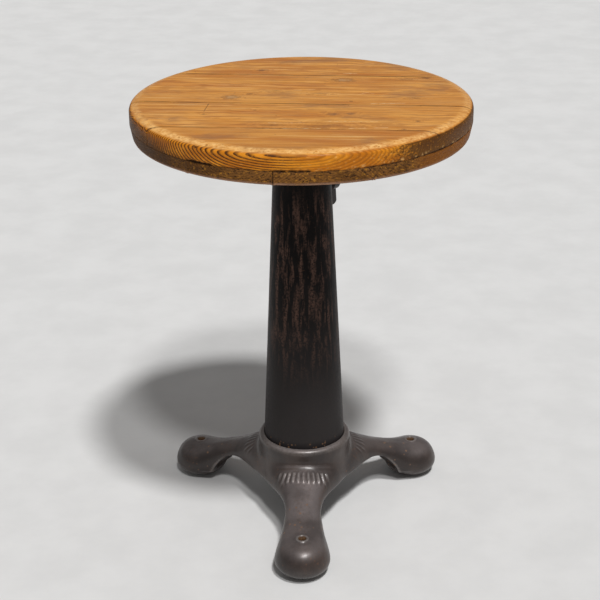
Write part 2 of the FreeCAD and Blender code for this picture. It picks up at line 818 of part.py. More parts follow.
def oval_half(along, half_width, side, top, sign):
    """Half of a section across an arm, from its lowest point to its highest."""
    rise = top - side
    fall = side + dim.tread_cut.value
    points = []
    for degrees in OVAL_ANGLES:
        angle = math.radians(degrees)
        fullness = UPPER_FULLNESS if degrees > 0 else LOWER_FULLNESS
        reach = rise if degrees > 0 else fall
        across = max(math.cos(angle), 0.0) ** (2 / fullness)
        height = math.copysign(abs(math.sin(angle)) ** (2 / fullness), degrees)
        points.append(Vector(along, sign * half_width * across, side + reach * height))
    points[0].y = 0.0
    points[-1].y = 0.0
    curve = Part.BSplineCurve()
    outward = Vector(0, sign, 0)
    curve.interpolate(Points=points, InitialTangent=outward, FinalTangent=-outward)
    return curve.toShape()


def oval_section(station):
    right = oval_half(*station, 1)
    left = oval_half(*station, -1)
    left.reverse()
    return Part.Wire([right, left])


def arm_stations():
    """Sections along an arm: distance from the axis, half width, widest height, top."""
    names = ("root", "shoulder", "waist", "neck")
    stations = []
    for name in names:
        parts = ("along", "half_width", "side", "top")
        stations.append([getattr(dim, "%s_%s" % (name, part)).value for part in parts])
    stations.append([dim.toe_circle.value, dim.toe_radius.value, dim.toe_side.value,
                     dim.toe_top.value])
    return stations


def around(shape):
    """Copies of a shape that lies along X, one for each leg, the first one on -Y."""
    copies = []
    for index in range(LEGS):
        copy = shape.copy()
        copy.rotate(Vector(0, 0, 0), Z_UP, -90 + index * 360 / LEGS)
        copies.append(copy)
    return copies


def toe_profile():
    """The outer half of the section through a toe, with the toe's axis as its chord."""
    edge = oval_half(*arm_stations()[-1], 1)
    chord = Part.LineSegment(edge.valueAt(edge.LastParameter),
                             edge.valueAt(edge.FirstParameter)).toShape()
    return Part.Face(Part.Wire([edge, chord]))


def leg_shape():
    """One arm along X with its toe; below its widest place the toe is a ball of its own."""
    stations = arm_stations()
    toe_place = Vector(dim.toe_circle.value, 0, 0)
    side = dim.toe_side.value
    reach = dim.toe_circle.value + dim.toe_radius.value * 2
    arm = Part.makeLoft([oval_section(station) for station in stations], True, False)
    tip = toe_profile().revolve(toe_place, Z_UP, -180)
    arch_start = dim.arch_flat.value
    below = Part.makeBox(reach, reach * 2, reach + side, Vector(arch_start, -reach, -reach))
    upper = arm.fuse(tip).cut(below)
    ball = toe_profile().revolve(toe_place, Z_UP, 360)
    above = Part.makeBox(reach * 2, reach * 2, reach, Vector(0, -reach, side))
    boss_top = dim.toe_top.value + dim.toe_boss_rise.value
    boss = Part.makeCylinder(dim.toe_boss_radius.value, boss_top / 2,
                             toe_place + Vector(0, 0, boss_top / 2))
    return upper.fuse([ball.cut(above), boss]).removeSplitter()


def tripod_form():
    """Three arms that end in rounded toes, without the hub and the hollows."""
    first, *others = around(leg_shape())
    return form("tripod_form", first.fuse(others))


def arm_hollow_form():
    """The channel under each arm, one wall inside its surface."""
    wall = dim.foot_wall.value
    stations = []
    for along, half_width, side, top in arm_stations():
        stations.append([along, half_width - wall, side, top - wall])
    stations[0][3] = ledge_bottom.value
    whole = Part.makeLoft([oval_section(station) for station in stations], True, False)
    end = dim.channel_end.value
    reach = dim.toe_circle.value
    kept = Part.makeBox(end, reach * 2, reach, Vector(0, -reach, 0))
    return form("arm_hollow_form", Part.Compound(around(whole.common(kept))))


def hub_form():
    undercut = dim.collar_radius - dim.collar_undercut
    low = dim.arch_height - dim.foot_wall
    outline = [
        (0, low),
        (dim.hub_radius, low),
        (dim.hub_radius, dim.arch_height, "right", dim.hub_cove_radius),
        (undercut, dim.shoulder_height),
        (dim.collar_radius, dim.shoulder_height + dim.collar_undercut_rise),
        (dim.collar_radius, dim.collar_top - dim.collar_round, "left", dim.collar_round),
        (dim.collar_radius - dim.collar_round, dim.collar_top),
        (0, dim.collar_top),
    ]
    return turned_piece("hub_form", outline)


def foot_space():
    """What is empty below the floor line, under the arch, under the ledge and in the socket."""
    reach = dim.toe_circle + dim.toe_radius * 2
    below = -dim.tread_cut * 4
    ball_limit = arch_limit()
    curve_end = dim.arch_flat + root(
        dim.arch_height * dim.arch_height - dim.toe_side * dim.toe_side)
    socket = dim.column_foot_radius + dim.socket_clearance
    above = dim.collar_top + dim.collar_round
    outline = [
        (0, below),
        (reach, below),
        (reach, 0),
        (ball_limit, 0),
        (ball_limit, dim.toe_side),
        (curve_end, dim.toe_side, "left", dim.arch_height),
        (dim.arch_flat, dim.arch_height),
        (dim.hub_space_radius, dim.arch_height),
        (dim.hub_space_radius, ledge_bottom),
        (dim.ledge_opening, ledge_bottom),
        (dim.ledge_opening, socket_floor),
        (socket, socket_floor),
        (socket, above),
        (0, above),
    ]
    return turned_piece("foot_space_form", outline)


def floor_screw_space():
    boss_top = dim.toe_top + dim.toe_boss_rise
    above = boss_top + dim.toe_boss_rise
    outline = [
        (0, -dim.tread_cut),
        (dim.floor_screw_radius, -dim.tread_cut),
        (dim.floor_screw_radius, boss_top - dim.floor_screw_sink_depth),
        (dim.floor_screw_sink, boss_top),
        (dim.floor_screw_sink, above),
        (0, above),
    ]
    return turned_set("floor_screw_form", outline, dim.toe_circle, LEGS, -90)


def bolt_space(name, radius, low, high):
    outline = [(0, low), (radius, low), (radius, high), (0, high)]
    return turned_set(name, outline, dim.bolt_circle, LEGS, dim.bolt_azimuth)


def base_casting():
    solid = doc.addObject("Part::MultiFuse", "foot_solid")
    solid.Shapes = [hub_form(), tripod_form()]
    bolt_holes = bolt_space("ledge_bolt_form", dim.bolt_radius + dim.bolt_hole_clearance,
                            ledge_bottom - dim.ledge_thick, socket_floor + dim.ledge_thick)
    return cut("base_casting", solid, foot_space(), arm_hollow_form(), floor_screw_space(),
               bolt_holes)


def column_bolts():
    """Hexagon bolts that pull the column down into the collar."""
    washer_bottom = ledge_bottom - dim.bolt_washer_thick
    head_bottom = washer_bottom - dim.bolt_head_height
    tip = socket_floor + dim.bolt_grip
    body = new_body("column_bolts", several=True)
    sketch = attached_sketch(body, "head_outline", "XY_Plane")
    sketch.AttachmentOffset = FreeCAD.Placement(
        Vector(0, 0, head_bottom.value), FreeCAD.Rotation())
    sketch.setExpression("AttachmentOffset.Base.z", head_bottom.text)
    corner = dim.bolt_head_width / root(as_size(3))
    half = corner / 2
    side = dim.bolt_head_width / 2
    circle = dim.bolt_circle
    draw_outline(sketch, [
        (circle + corner, 0),
        (circle + half, side),
        (circle - half, side),
        (circle - corner, 0),
        (circle - half, -side),
        (circle + half, -side),
    ])
    head = body.newObject("PartDesign::Pad", "bolt_head")
    head.Profile = sketch
    bound(head, Length=dim.bolt_head_height)
    shank_sketch = attached_sketch(body, "shank_circle", "XY_Plane")
    shank_sketch.AttachmentOffset = sketch.AttachmentOffset
    shank_sketch.setExpression("AttachmentOffset.Base.z", head_bottom.text)
    draw_circle(shank_sketch, circle, 0, dim.bolt_radius)
    shank = body.newObject("PartDesign::Pad", "bolt_shank")
    shank.Profile = shank_sketch
    bound(shank, Length=tip - head_bottom)
    body.Tip = shank
    doc.recompute()
    polar(body, "bolt_ring", [head, shank], LEGS)
    body.Placement = FreeCAD.Placement(
        Vector(0, 0, 0), FreeCAD.Rotation(Z_UP, dim.bolt_azimuth.value))
    body.setExpression("Placement.Rotation.Angle", dim.bolt_azimuth.text)
    return body


def bolt_washers():
    low = ledge_bottom - dim.bolt_washer_thick
    inner = dim.bolt_radius + dim.bolt_hole_clearance
    body = new_body("bolt_washers", several=True)
    sketch = attached_sketch(body, "washer_outline", "XY_Plane")
    sketch.AttachmentOffset = FreeCAD.Placement(Vector(0, 0, low.value), FreeCAD.Rotation())
    sketch.setExpression("AttachmentOffset.Base.z", low.text)
    draw_circle(sketch, dim.bolt_circle, 0, dim.bolt_washer_radius)
    draw_circle(sketch, dim.bolt_circle, 0, inner)
    disc = body.newObject("PartDesign::Pad", "washer_disc")
    disc.Profile = sketch
    bound(disc, Length=dim.bolt_washer_thick)
    body.Tip = disc
    doc.recompute()
    polar(body, "washer_ring", [disc], LEGS)
    body.Placement = FreeCAD.Placement(
        Vector(0, 0, 0), FreeCAD.Rotation(Z_UP, dim.bolt_azimuth.value))
    body.setExpression("Placement.Rotation.Angle", dim.bolt_azimuth.text)
    return body


def stool():
    """Build every piece and return the ones that make up the stool."""
    screw_clearance = as_size(dim.running_clearance)
    none = as_size(0)
    layer_space = layer_screws("layer_screw_form", screw_clearance)
    flange_space = flange_screws("flange_screw_form", screw_clearance)
    spaces = [layer_space, flange_space]
    pieces = boards(
        ["seat_board_front", "seat_board_middle_front", "seat_board_middle_back",
         "seat_board_back"],
        layer_form_upper(), [dim.front_seam, dim.middle_seam, dim.back_seam],
        dim.grain_turn, layer_height, dim.upper_layer, False, spaces)
    pieces += boards(
        ["lower_board_left", "lower_board_centre_left", "lower_board_centre_right",
         "lower_board_right"],
        layer_form_lower(), [dim.left_joint, dim.centre_joint, dim.right_joint],
        none, seat_underside, dim.lower_layer, True, spaces)
    pieces.append(layer_screws("layer_screws", none))
    pieces.append(cut("seat_flange", seat_flange(), flange_space))
    pieces.append(flange_screws("flange_screws", none))
    pieces.append(seat_post())
    pieces.append(washer("thrust_washer", dim.spigot_radius + dim.running_clearance,
                         dim.thrust_washer_radius, thrust_bottom, dim.thrust_washer_thick))
    pieces.append(washer("retaining_washer", dim.cap_screw_shank + dim.running_clearance,
                         dim.retainer_radius, retainer_bottom, dim.retainer_thick))
    pieces.append(retaining_screw())
    pieces.append(stop_ring())
    pieces.append(stop_pin())
    column_holes = bolt_space("column_bolt_form", dim.bolt_radius + dim.running_clearance,
                              socket_floor - dim.ledge_thick,
                              socket_floor + dim.bolt_grip + dim.end_play)
    pieces.append(cut("column", column(), column_holes))
    pieces.append(neck_bush())
    pieces.append(clamp_pad())
    pieces.append(clamp_screw())
    pieces.append(base_casting())
    pieces.append(column_bolts())
    pieces.append(bolt_washers())
    doc.recompute()
    return pieces


def check_and_write(pieces):
    """Stop on any failed object or shape, then write one file for each piece."""
    for item in doc.Objects:
        if "Invalid" in item.State or "Error" in item.State:
            raise RuntimeError("%s failed: %s" % (item.Label, item.State))
    for piece in pieces:
        if piece.Shape.isNull() or not piece.Shape.isValid() or not piece.Shape.Solids:
            raise RuntimeError("%s has no sound shape" % piece.Label)
    os.makedirs("parts", exist_ok=True)
    for piece in pieces:
        piece.Shape.exportStep("parts/%s.step" % piece.Label)
        print("%-26s %2d solid %10.1f mm3" % (
            piece.Label, len(piece.Shape.Solids), piece.Shape.Volume))


check_and_write(stool())
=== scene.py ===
import json
import math
from types import SimpleNamespace

import bpy
import numpy as np
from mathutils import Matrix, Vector

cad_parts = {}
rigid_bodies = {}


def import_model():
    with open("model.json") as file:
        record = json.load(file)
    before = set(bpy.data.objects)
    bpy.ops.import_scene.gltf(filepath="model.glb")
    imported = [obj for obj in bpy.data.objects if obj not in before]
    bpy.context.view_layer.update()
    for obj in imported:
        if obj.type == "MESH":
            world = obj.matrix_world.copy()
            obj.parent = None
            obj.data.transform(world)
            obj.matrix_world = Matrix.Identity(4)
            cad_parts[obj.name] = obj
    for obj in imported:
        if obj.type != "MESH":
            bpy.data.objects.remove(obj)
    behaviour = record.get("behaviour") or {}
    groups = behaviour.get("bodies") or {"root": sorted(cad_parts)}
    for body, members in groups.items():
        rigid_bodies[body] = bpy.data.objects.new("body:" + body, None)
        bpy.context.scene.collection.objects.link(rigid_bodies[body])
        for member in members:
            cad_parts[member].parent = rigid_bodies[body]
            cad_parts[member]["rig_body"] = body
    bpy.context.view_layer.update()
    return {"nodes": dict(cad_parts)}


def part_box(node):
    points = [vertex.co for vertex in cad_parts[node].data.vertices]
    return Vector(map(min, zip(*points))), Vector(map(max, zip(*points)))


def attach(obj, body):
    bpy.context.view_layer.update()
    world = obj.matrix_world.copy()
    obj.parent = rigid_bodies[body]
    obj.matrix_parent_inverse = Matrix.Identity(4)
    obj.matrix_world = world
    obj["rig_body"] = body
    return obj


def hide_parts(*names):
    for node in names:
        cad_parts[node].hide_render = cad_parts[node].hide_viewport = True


# Dressing of the round-seated work stool: worn waxed boards, old dark iron, plain steel
# and brass. Metres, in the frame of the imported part. Front toe on -Y, camera in front.

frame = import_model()
nodes = frame["nodes"]

MM = 0.001

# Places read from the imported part
seat_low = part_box("lower_board_centre_left")[0].z
seat_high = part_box("seat_board_middle_back")[1].z
layer_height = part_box("lower_board_centre_left")[1].z
seat_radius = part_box("seat_board_middle_back")[1].x
collar_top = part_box("base_casting")[1].z
centre_joint_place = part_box("lower_board_centre_left")[1].x

# Heights on the sloping top edge of the seat, and where the flat top ends
slope_foot = seat_high - 7 * MM
mid_slope = seat_high - 4 * MM
flat_top_radius = seat_radius - 17 * MM

# Sizes of the part that its boxes don't show
TOE_CIRCLE = 142 * MM
LOWER_TAPER = 2.4 * MM

UPPER_BOARDS = ("seat_board_front", "seat_board_middle_front", "seat_board_middle_back",
                "seat_board_back")
LOWER_BOARDS = ("lower_board_left", "lower_board_centre_left", "lower_board_centre_right",
                "lower_board_right")
GRAIN_TURN = math.radians(-3.7)
ARM_DIRECTIONS = [math.radians(degrees) for degrees in (-90, 30, 150)]

# Grid of the remeshed pieces
UPPER_VOXEL = 1.2 * MM
LOWER_VOXEL = 1.3 * MM
FOOT_VOXEL = 1.0 * MM


# Noise for shapes: smooth values at points in space, the same at every run

def hashed(cells, seed):
    """A number from -1 to 1 for each whole-number cell."""
    x, y, z = cells[:, 0], cells[:, 1], cells[:, 2]
    mixed = (x * 374761393 + y * 668265263 + z * 2147483647 + seed * 974634777) & 0xFFFFFFFF
    mixed = ((mixed ^ (mixed >> 13)) * 1274126177) & 0xFFFFFFFF
    mixed = mixed ^ (mixed >> 16)
    return (mixed & 0xFFFF) / 32767.5 - 1.0


def noise(points, size, seed, octaves=1):
    """Smooth noise from about -1 to 1 whose bumps are about size metres wide."""
    total = np.zeros(len(points))
    weight_sum = 0.0
    for octave in range(octaves):
        weight = 0.5 ** octave
        placed = points / size * 2 ** octave
        cells = np.floor(placed).astype(np.int64)
        share = placed - cells
        share = share * share * (3 - 2 * share)
        value = np.zeros(len(points))
        for corner in np.ndindex(2, 2, 2):
            corner = np.array(corner)
            factor = np.prod(np.where(corner, share, 1 - share), axis=1)
            value += factor * hashed(cells + corner, seed + octave)
        total += weight * value
        weight_sum += weight
    return total / weight_sum


def ramp(values, low, high):
    """0 at low, 1 at high, smooth between them; low may be the larger one."""
    share = np.clip((values - low) / (high - low), 0, 1)
    return share * share * (3 - 2 * share)


def window(values, start, full, still, end):
    """0 outside start and end, 1 from full to still, smooth between them."""
    return ramp(values, start, full) * ramp(values, end, still)


# Meshes

def points_of(obj):
    points = np.empty(len(obj.data.vertices) * 3, np.float32)
    obj.data.vertices.foreach_get("co", points)
    return points.reshape(-1, 3).astype(float)


def set_points(obj, points):
    obj.data.vertices.foreach_set("co", points.astype(np.float32).ravel())
    obj.data.update()


def normals_of(obj):
    normals = np.empty(len(obj.data.vertices) * 3, np.float32)
    obj.data.vertex_normals.foreach_get("vector", normals)
    return normals.reshape(-1, 3).astype(float)


def edges_of(obj):
    edges = np.empty(len(obj.data.edges) * 2, np.int32)
    obj.data.edges.foreach_get("vertices", edges)
    return edges.reshape(-1, 2)


def smoothed(points, edges, rounds, strength=0.5):
    """Points moved towards the middle of their neighbours, several times."""
    count = len(points)
    ends = np.concatenate([edges, edges[:, ::-1]])
    degree = np.maximum(np.bincount(ends[:, 0], minlength=count), 1)
    for _ in range(rounds):
        middle = np.stack([
            np.bincount(ends[:, 0], weights=points[ends[:, 1], axis], minlength=count)
            for axis in range(3)], axis=1) / degree[:, None]
        points = points + (middle - points) * strength
    return points


def remeshed_copy(node, name, voxel):
    """A copy of a CAD node with an even fine mesh, as a piece that stands for the node."""
    source = nodes[node]
    obj = bpy.data.objects.new(name, source.data.copy())
    bpy.context.scene.collection.objects.link(obj)
    obj.data.materials.clear()
    if obj.data.attributes.get("custom_normal"):
        obj.data.attributes.remove(obj.data.attributes["custom_normal"])
    weld = obj.modifiers.new("weld", "WELD")
    weld.merge_threshold = 0.001 * MM
    remesh = obj.modifiers.new("remesh", "REMESH")
    remesh.mode = "VOXEL"
    remesh.voxel_size = voxel
    remesh.use_smooth_shade = True
    bpy.context.view_layer.update()
    evaluated = obj.evaluated_get(bpy.context.evaluated_depsgraph_get())
    mesh = bpy.data.meshes.new_from_object(evaluated)
    obj.modifiers.clear()
    obj.data = mesh
    mesh.name = name
    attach(obj, source["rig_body"])
    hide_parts(node)
    return obj


def add_field(obj, name, values):
    """Store a number at each vertex for a material to read."""
    field = obj.data.attributes.new(name, "FLOAT", "POINT")
    field.data.foreach_set("value", values.astype(np.float32))


def bulge(points, normals, edges, rounds, scale):
    """How far each point stands out of its smoothed surroundings, about -1 to 1."""
    flat = smoothed(points, edges, rounds)
    return np.clip(((points - flat) * normals).sum(axis=1) / scale, -1, 1)


# Node graphs

class Graph:
    """A material's node tree, with short words for the nodes used here."""

    def __init__(self, name):
        self.material = bpy.data.materials.new(name)
        self.material.use_nodes = True
        self.tree = self.material.node_tree
        self.tree.nodes.clear()
        coordinates = self.add("ShaderNodeTexCoord").outputs["Object"]
        scaled = self.add("ShaderNodeVectorMath", operation="SCALE")
        self.put(scaled.inputs[0], coordinates)
        scaled.inputs["Scale"].default_value = 1 / MM
        self.place = scaled.outputs[0]

    def add(self, kind, **settings):
        node = self.tree.nodes.new(kind)
        for key, value in settings.items():
            setattr(node, key, value)
        return node

    def put(self, socket, value):
        """Set a socket to a number or colour, or link it to another socket."""
        if isinstance(value, bpy.types.NodeSocket):
            self.tree.links.new(value, socket)
            return
        socket.default_value = value

    def math(self, operation, first, second=0.0):
        node = self.add("ShaderNodeMath", operation=operation)
        self.put(node.inputs[0], first)
        self.put(node.inputs[1], second)
        return node.outputs[0]

    def plus(self, first, second):
        return self.math("ADD", first, second)

    def minus(self, first, second):
        return self.math("SUBTRACT", first, second)

    def times(self, first, second):
        return self.math("MULTIPLY", first, second)

    def either(self, first, second):
        return self.math("MAXIMUM", first, second)

    def hypot(self, x, y):
        return self.math("SQRT", self.plus(self.times(x, x), self.times(y, y)))

    def vector(self, operation, first, second=(0.0, 0.0, 0.0)):
        """A vector operation: LENGTH gives a number, the others a vector."""
        node = self.add("ShaderNodeVectorMath", operation=operation)
        self.put(node.inputs[0], first)
        self.put(node.inputs[1], second)
        return node.outputs["Value" if operation == "LENGTH" else "Vector"]

    def band(self, value, low, high, start=0.0, end=1.0):
        """A smooth step of a value from start at low to end at high."""
        node = self.add("ShaderNodeMapRange", interpolation_type="SMOOTHSTEP")
        self.put(node.inputs["Value"], value)
        node.inputs["From Min"].default_value = low
        node.inputs["From Max"].default_value = high
        node.inputs["To Min"].default_value = start
        node.inputs["To Max"].default_value = end
        return node.outputs["Result"]

    def split(self, vector):
        node = self.add("ShaderNodeSeparateXYZ")
        self.put(node.inputs[0], vector)
        return node.outputs[0], node.outputs[1], node.outputs[2]

    def join(self, x, y, z):
        node = self.add("ShaderNodeCombineXYZ")
        for socket, value in zip(node.inputs, (x, y, z)):
            self.put(socket, value)
        return node.outputs[0]

    def stretched(self, vector, x, y, z, shift=0.0):
        node = self.add("ShaderNodeMapping")
        self.put(node.inputs["Vector"], vector)
        node.inputs["Scale"].default_value = (x, y, z)
        node.inputs["Location"].default_value = (shift, shift * 0.7, shift * 1.3)
        return node.outputs[0]

    def turned(self, vector, angle):
        node = self.add("ShaderNodeMapping")
        self.put(node.inputs["Vector"], vector)
        node.inputs["Rotation"].default_value = (0, 0, angle)
        return node.outputs[0]

    def noise(self, vector, scale=1.0, detail=3.0, roughness=0.5, distortion=0.0):
        node = self.add("ShaderNodeTexNoise")
        self.put(node.inputs["Vector"], vector)
        node.inputs["Scale"].default_value = scale
        node.inputs["Detail"].default_value = detail
        node.inputs["Roughness"].default_value = roughness
        node.inputs["Distortion"].default_value = distortion
        return node.outputs["Fac"]

    def pattern(self, vector, scales, shift, detail, roughness=0.5):
        """Noise with its own scale along each axis, in bumps per mm."""
        return self.noise(self.stretched(vector, *scales, shift), 1.0, detail, roughness)

    def specks(self, vector, scale, size, keep):
        """Small round spots: size is their share of a cell, keep the share of cells."""
        node = self.add("ShaderNodeTexVoronoi")
        self.put(node.inputs["Vector"], vector)
        node.inputs["Scale"].default_value = scale
        near = self.band(node.outputs["Distance"], size, size * 0.4)
        red = self.add("ShaderNodeSeparateColor")
        self.put(red.inputs[0], node.outputs["Color"])
        return self.times(near, self.band(red.outputs[0], keep + 0.02, keep - 0.02))

    def mix(self, factor, first, second):
        node = self.add("ShaderNodeMix", data_type="RGBA")
        self.put(node.inputs["Factor"], factor)
        for index, value in ((6, first), (7, second)):
            if isinstance(value, tuple):
                value = (*value, 1.0)
            self.put(node.inputs[index], value)
        return node.outputs[2]

    def layered(self, colour, layers):
        """A colour with others laid over it in turn, each as strongly as its mask says."""
        for mask, tint in layers:
            colour = self.mix(mask, colour, tint)
        return colour

    def bump(self, height, distance, strength, normal=None):
        node = self.add("ShaderNodeBump")
        node.inputs["Strength"].default_value = strength
        node.inputs["Distance"].default_value = distance
        self.put(node.inputs["Height"], height)
        if normal is not None:
            self.put(node.inputs["Normal"], normal)
        return node.outputs[0]

    def field(self, name):
        return self.add("ShaderNodeAttribute", attribute_name=name).outputs["Fac"]

    def surface(self, colour, roughness, normal=None, metallic=0.0, coat=0.0,
                coat_roughness=0.2, specular=0.5):
        shader = self.add("ShaderNodeBsdfPrincipled")
        self.put(shader.inputs["Base Color"], colour)
        self.put(shader.inputs["Roughness"], roughness)
        self.put(shader.inputs["Metallic"], metallic)
        shader.inputs["Specular IOR Level"].default_value = specular
        shader.inputs["Coat Weight"].default_value = coat
        shader.inputs["Coat Roughness"].default_value = coat_roughness
        if normal is not None:
            self.put(shader.inputs["Normal"], normal)
        output = self.add("ShaderNodeOutputMaterial")
        self.put(output.inputs["Surface"], shader.outputs[0])
        return self.material


# Waxed and worn pine

# Knots, bruises and stains of the seat top: x, y, half length, half width in mm, kind
MARKS = (
    (-44, 108, 6, 4.5, "knot"),
    (44, 67, 9, 5.5, "grey"),
    (-71.5, 5, 7, 5.5, "grey"),
    (-53, 17, 4, 2.5, "knot"),
    (-27, 26, 8, 3, "stain"),
    (17, 16, 9, 3, "stain"),
    (110, 70, 12, 5, "stain"),
    (130, 74, 6, 4, "knot"),
    (115.5, -1, 8, 2, "knot"),
    (33, -56, 7, 5, "bruise"),
    (50, -54.5, 6, 3.5, "bruise"),
    (-25, -91, 12, 4, "stain"),
    (22, -95, 24, 7, "stain"),
    (114.5, -80, 2.5, 2, "knot"),
    (100, -106, 2.5, 2, "knot"),
    (-94.5, -54, 2, 2, "knot"),
    (-45, -41.5, 2, 2, "knot"),
    (51, -11, 2.5, 2, "knot"),
)

# Cracks and bright torn fibres of the seat top: start and end in mm, half width, bright
SCRATCHES = (
    ((-92.4, -16.6), (-95.5, -46), 0.45, False),
    ((-92.4, -16.6), (-60, -17.5), 0.3, False),
    ((70, -20.8), (104, -19), 1.2, True),
    ((44, 94.6), (58, 92.6), 1.0, True),
    ((25, -79.2), (75, -80.5), 0.8, True),
    ((48, -103), (84, -101), 0.9, True),
    ((-30, -84), (5, -85), 0.6, True),
    ((-8, 30), (14, 31.5), 0.9, True),
    ((-60, -100), (20, -103), 0.7, True),
    ((58, 12), (70, 22), 0.4, True),
    ((62, 24), (74, 15), 0.4, True),
)


def segment_distance(graph, place, start, end):
    """Distance in mm from a line segment that lies in the plane of the seat."""
    along = Vector(end) - Vector(start)
    length = along.length
    angle = math.atan2(along.y, along.x)
    moved = graph.vector("SUBTRACT", place, (*start, 0.0))
    x, y, _ = graph.split(graph.turned(moved, -angle))
    beyond = graph.either(graph.times(x, -1.0), graph.minus(x, length))
    return graph.hypot(graph.either(beyond, 0.0), y)


def mark_distance(graph, place, mark, wobble):
    """About 1 at the rim of an oval mark and 0 at its middle."""
    x, y, half_length, half_width = mark[:4]
    moved = graph.vector("SUBTRACT", place, (x, y, 0.0))
    scaled = graph.vector("MULTIPLY", moved, (1 / half_length, 1 / half_width, 0.0))
    return graph.plus(graph.vector("LENGTH", scaled), wobble)


def grain_place(graph, across):
    """Coordinates with x along the fibres, which run front to back if across."""
    if across:
        return graph.turned(graph.place, math.radians(-90))
    return graph.turned(graph.place, -GRAIN_TURN)


def growth_rings(graph, place, pith, spacing, seed, waviness):
    """Ring count from a pith line that runs along x at (y, z) = pith, with wavy rings."""
    slow = graph.pattern(place, (0.011, 0.035, 0.035), seed, 2.0)
    wave_y = graph.times(graph.minus(slow, 0.5), 22.0 * waviness)
    quick = graph.pattern(place, (0.03, 0.10, 0.10), seed + 5, 2.0)
    wave_z = graph.times(graph.minus(quick, 0.5), 7.0 * waviness)
    x, y, z = graph.split(place)
    off_y = graph.plus(graph.minus(y, pith[0]), wave_y)
    off_z = graph.plus(graph.minus(z, pith[1]), wave_z)
    distance = graph.plus(graph.hypot(off_y, off_z), graph.times(x, 0.004))
    return graph.times(distance, 1 / spacing)


def wood_marks(graph, flat, wobble):
    """Masks of the dark and grey marks, and how far the rings bend round them."""
    dark, grey, bend = 0.0, 0.0, 0.0
    for mark in MARKS:
        distance = mark_distance(graph, flat, mark, wobble)
        kind = mark[4]
        bend = graph.plus(bend, graph.band(distance, 2.6, 0.2))
        if kind == "grey":
            grey = graph.either(grey, graph.band(distance, 1.05, 0.45, 0.0, 0.85))
            ring = graph.times(graph.band(distance, 1.7, 1.10),
                               graph.band(distance, 0.4, 0.9))
            dark = graph.either(dark, graph.times(ring, 0.5))
            continue
        strength = {"stain": 0.5, "bruise": 0.62, "knot": 0.95}[kind]
        dark = graph.either(dark, graph.band(distance, 1.35, 0.25, 0.0, strength))
        if kind == "bruise":
            grey = graph.either(grey, graph.band(distance, 0.9, 0.2, 0.0, 0.35))
    return dark, grey, bend


def wood_scratches(graph, flat, wobble):
    """Masks of the bright torn fibres and of the dark cracks."""
    bright, crack = 0.0, 0.0
    for start, end, half_width, is_bright in SCRATCHES:
        distance = graph.plus(segment_distance(graph, flat, start, end),
                              graph.times(wobble, half_width * 2.2))
        line = graph.band(distance, half_width, half_width * 0.35)
        if is_bright:
            bright = graph.either(bright, line)
        else:
            crack = graph.either(crack, line)
    return bright, crack


# Colours of the seat top, then of its rim, then of its marks and worn places
TOP_GROUND = (0.62, 0.240, 0.036)
TOP_LIGHT = (0.80, 0.375, 0.080)
TOP_RUSSET = (0.50, 0.155, 0.022)
TOP_DEEP_BAND = (0.38, 0.125, 0.024)
TOP_PALE_BAND = (0.86, 0.46, 0.135)
TOP_DARK_LINE = (0.32, 0.110, 0.030)
TOP_PALE_LINE = (0.97, 0.62, 0.25)
TOP_LATE_WOOD = (0.40, 0.140, 0.028)
TOP_DARK_FIBRE = (0.25, 0.090, 0.026)
TOP_PALE_FIBRE = (0.84, 0.47, 0.16)
TOP_CLOUD = (0.270, 0.125, 0.058)
TOP_PORE = (0.13, 0.050, 0.020)
RIM_GOLD = (0.52, 0.158, 0.006)
RIM_LIGHT_GOLD = (0.76, 0.275, 0.015)
RIM_PALE = (0.90, 0.48, 0.13)
RIM_GRIME = (0.20, 0.070, 0.010)
RIM_LATE_WOOD = (0.052, 0.017, 0.006)
RIM_END_DARK = (0.040, 0.017, 0.005)
RIM_END_FLECK = (0.32, 0.130, 0.014)
GREY_MARK = (0.40, 0.27, 0.150)
DARK_MARK = (0.115, 0.056, 0.038)
TORN_FIBRE = (0.93, 0.66, 0.36)
CRACK = (0.06, 0.025, 0.012)
SEAM_DIRT = (0.020, 0.010, 0.007)
# Pale worn wood of the top edge, partly a painted highlight
PALE_EDGE_AND_HIGHLIGHT = (1.0, 0.62, 0.24)

# Colours of the lower boards
UNDER_DARK = (0.22, 0.105, 0.042)
UNDER_LIGHT = (0.33, 0.170, 0.070)
UNDER_LATE_WOOD = (0.11, 0.048, 0.018)
UNDER_FIBRE = (0.08, 0.038, 0.018)
END_BROWN = (0.150, 0.062, 0.014)
END_LIGHT_BROWN = (0.245, 0.105, 0.026)
END_LATE_WOOD = (0.055, 0.026, 0.012)
END_FLAKE = (0.52, 0.230, 0.030)
END_PIT = (0.026, 0.013, 0.008)
END_REDDISH = (0.30, 0.098, 0.013)
END_BLACKISH = (0.060, 0.028, 0.012)
END_DIRT = (0.018, 0.010, 0.007)
END_WORN = (0.48, 0.285, 0.20)

# Width of a growth ring in mm, and how wavy the rings of the boards are
UPPER_RING = 2.3
LOWER_RING = 2.6
FRONT_WAVINESS = 0.22
UPPER_WAVINESS = 0.8
LOWER_WAVINESS = 0.6


def late_wood(graph, rings, grown):
    """The dark part of each ring: it deepens slowly up to grown and ends at once."""
    share = graph.math("FRACT", rings)
    return graph.times(graph.band(share, 0.30, grown), graph.band(share, 1.0, 0.90))


def near_rim(graph, x, y, start, full):
    """0 inside and 1 at the rim, between two distances from the rim in mm."""
    return graph.band(graph.hypot(x, y), seat_radius / MM - start, seat_radius / MM - full)


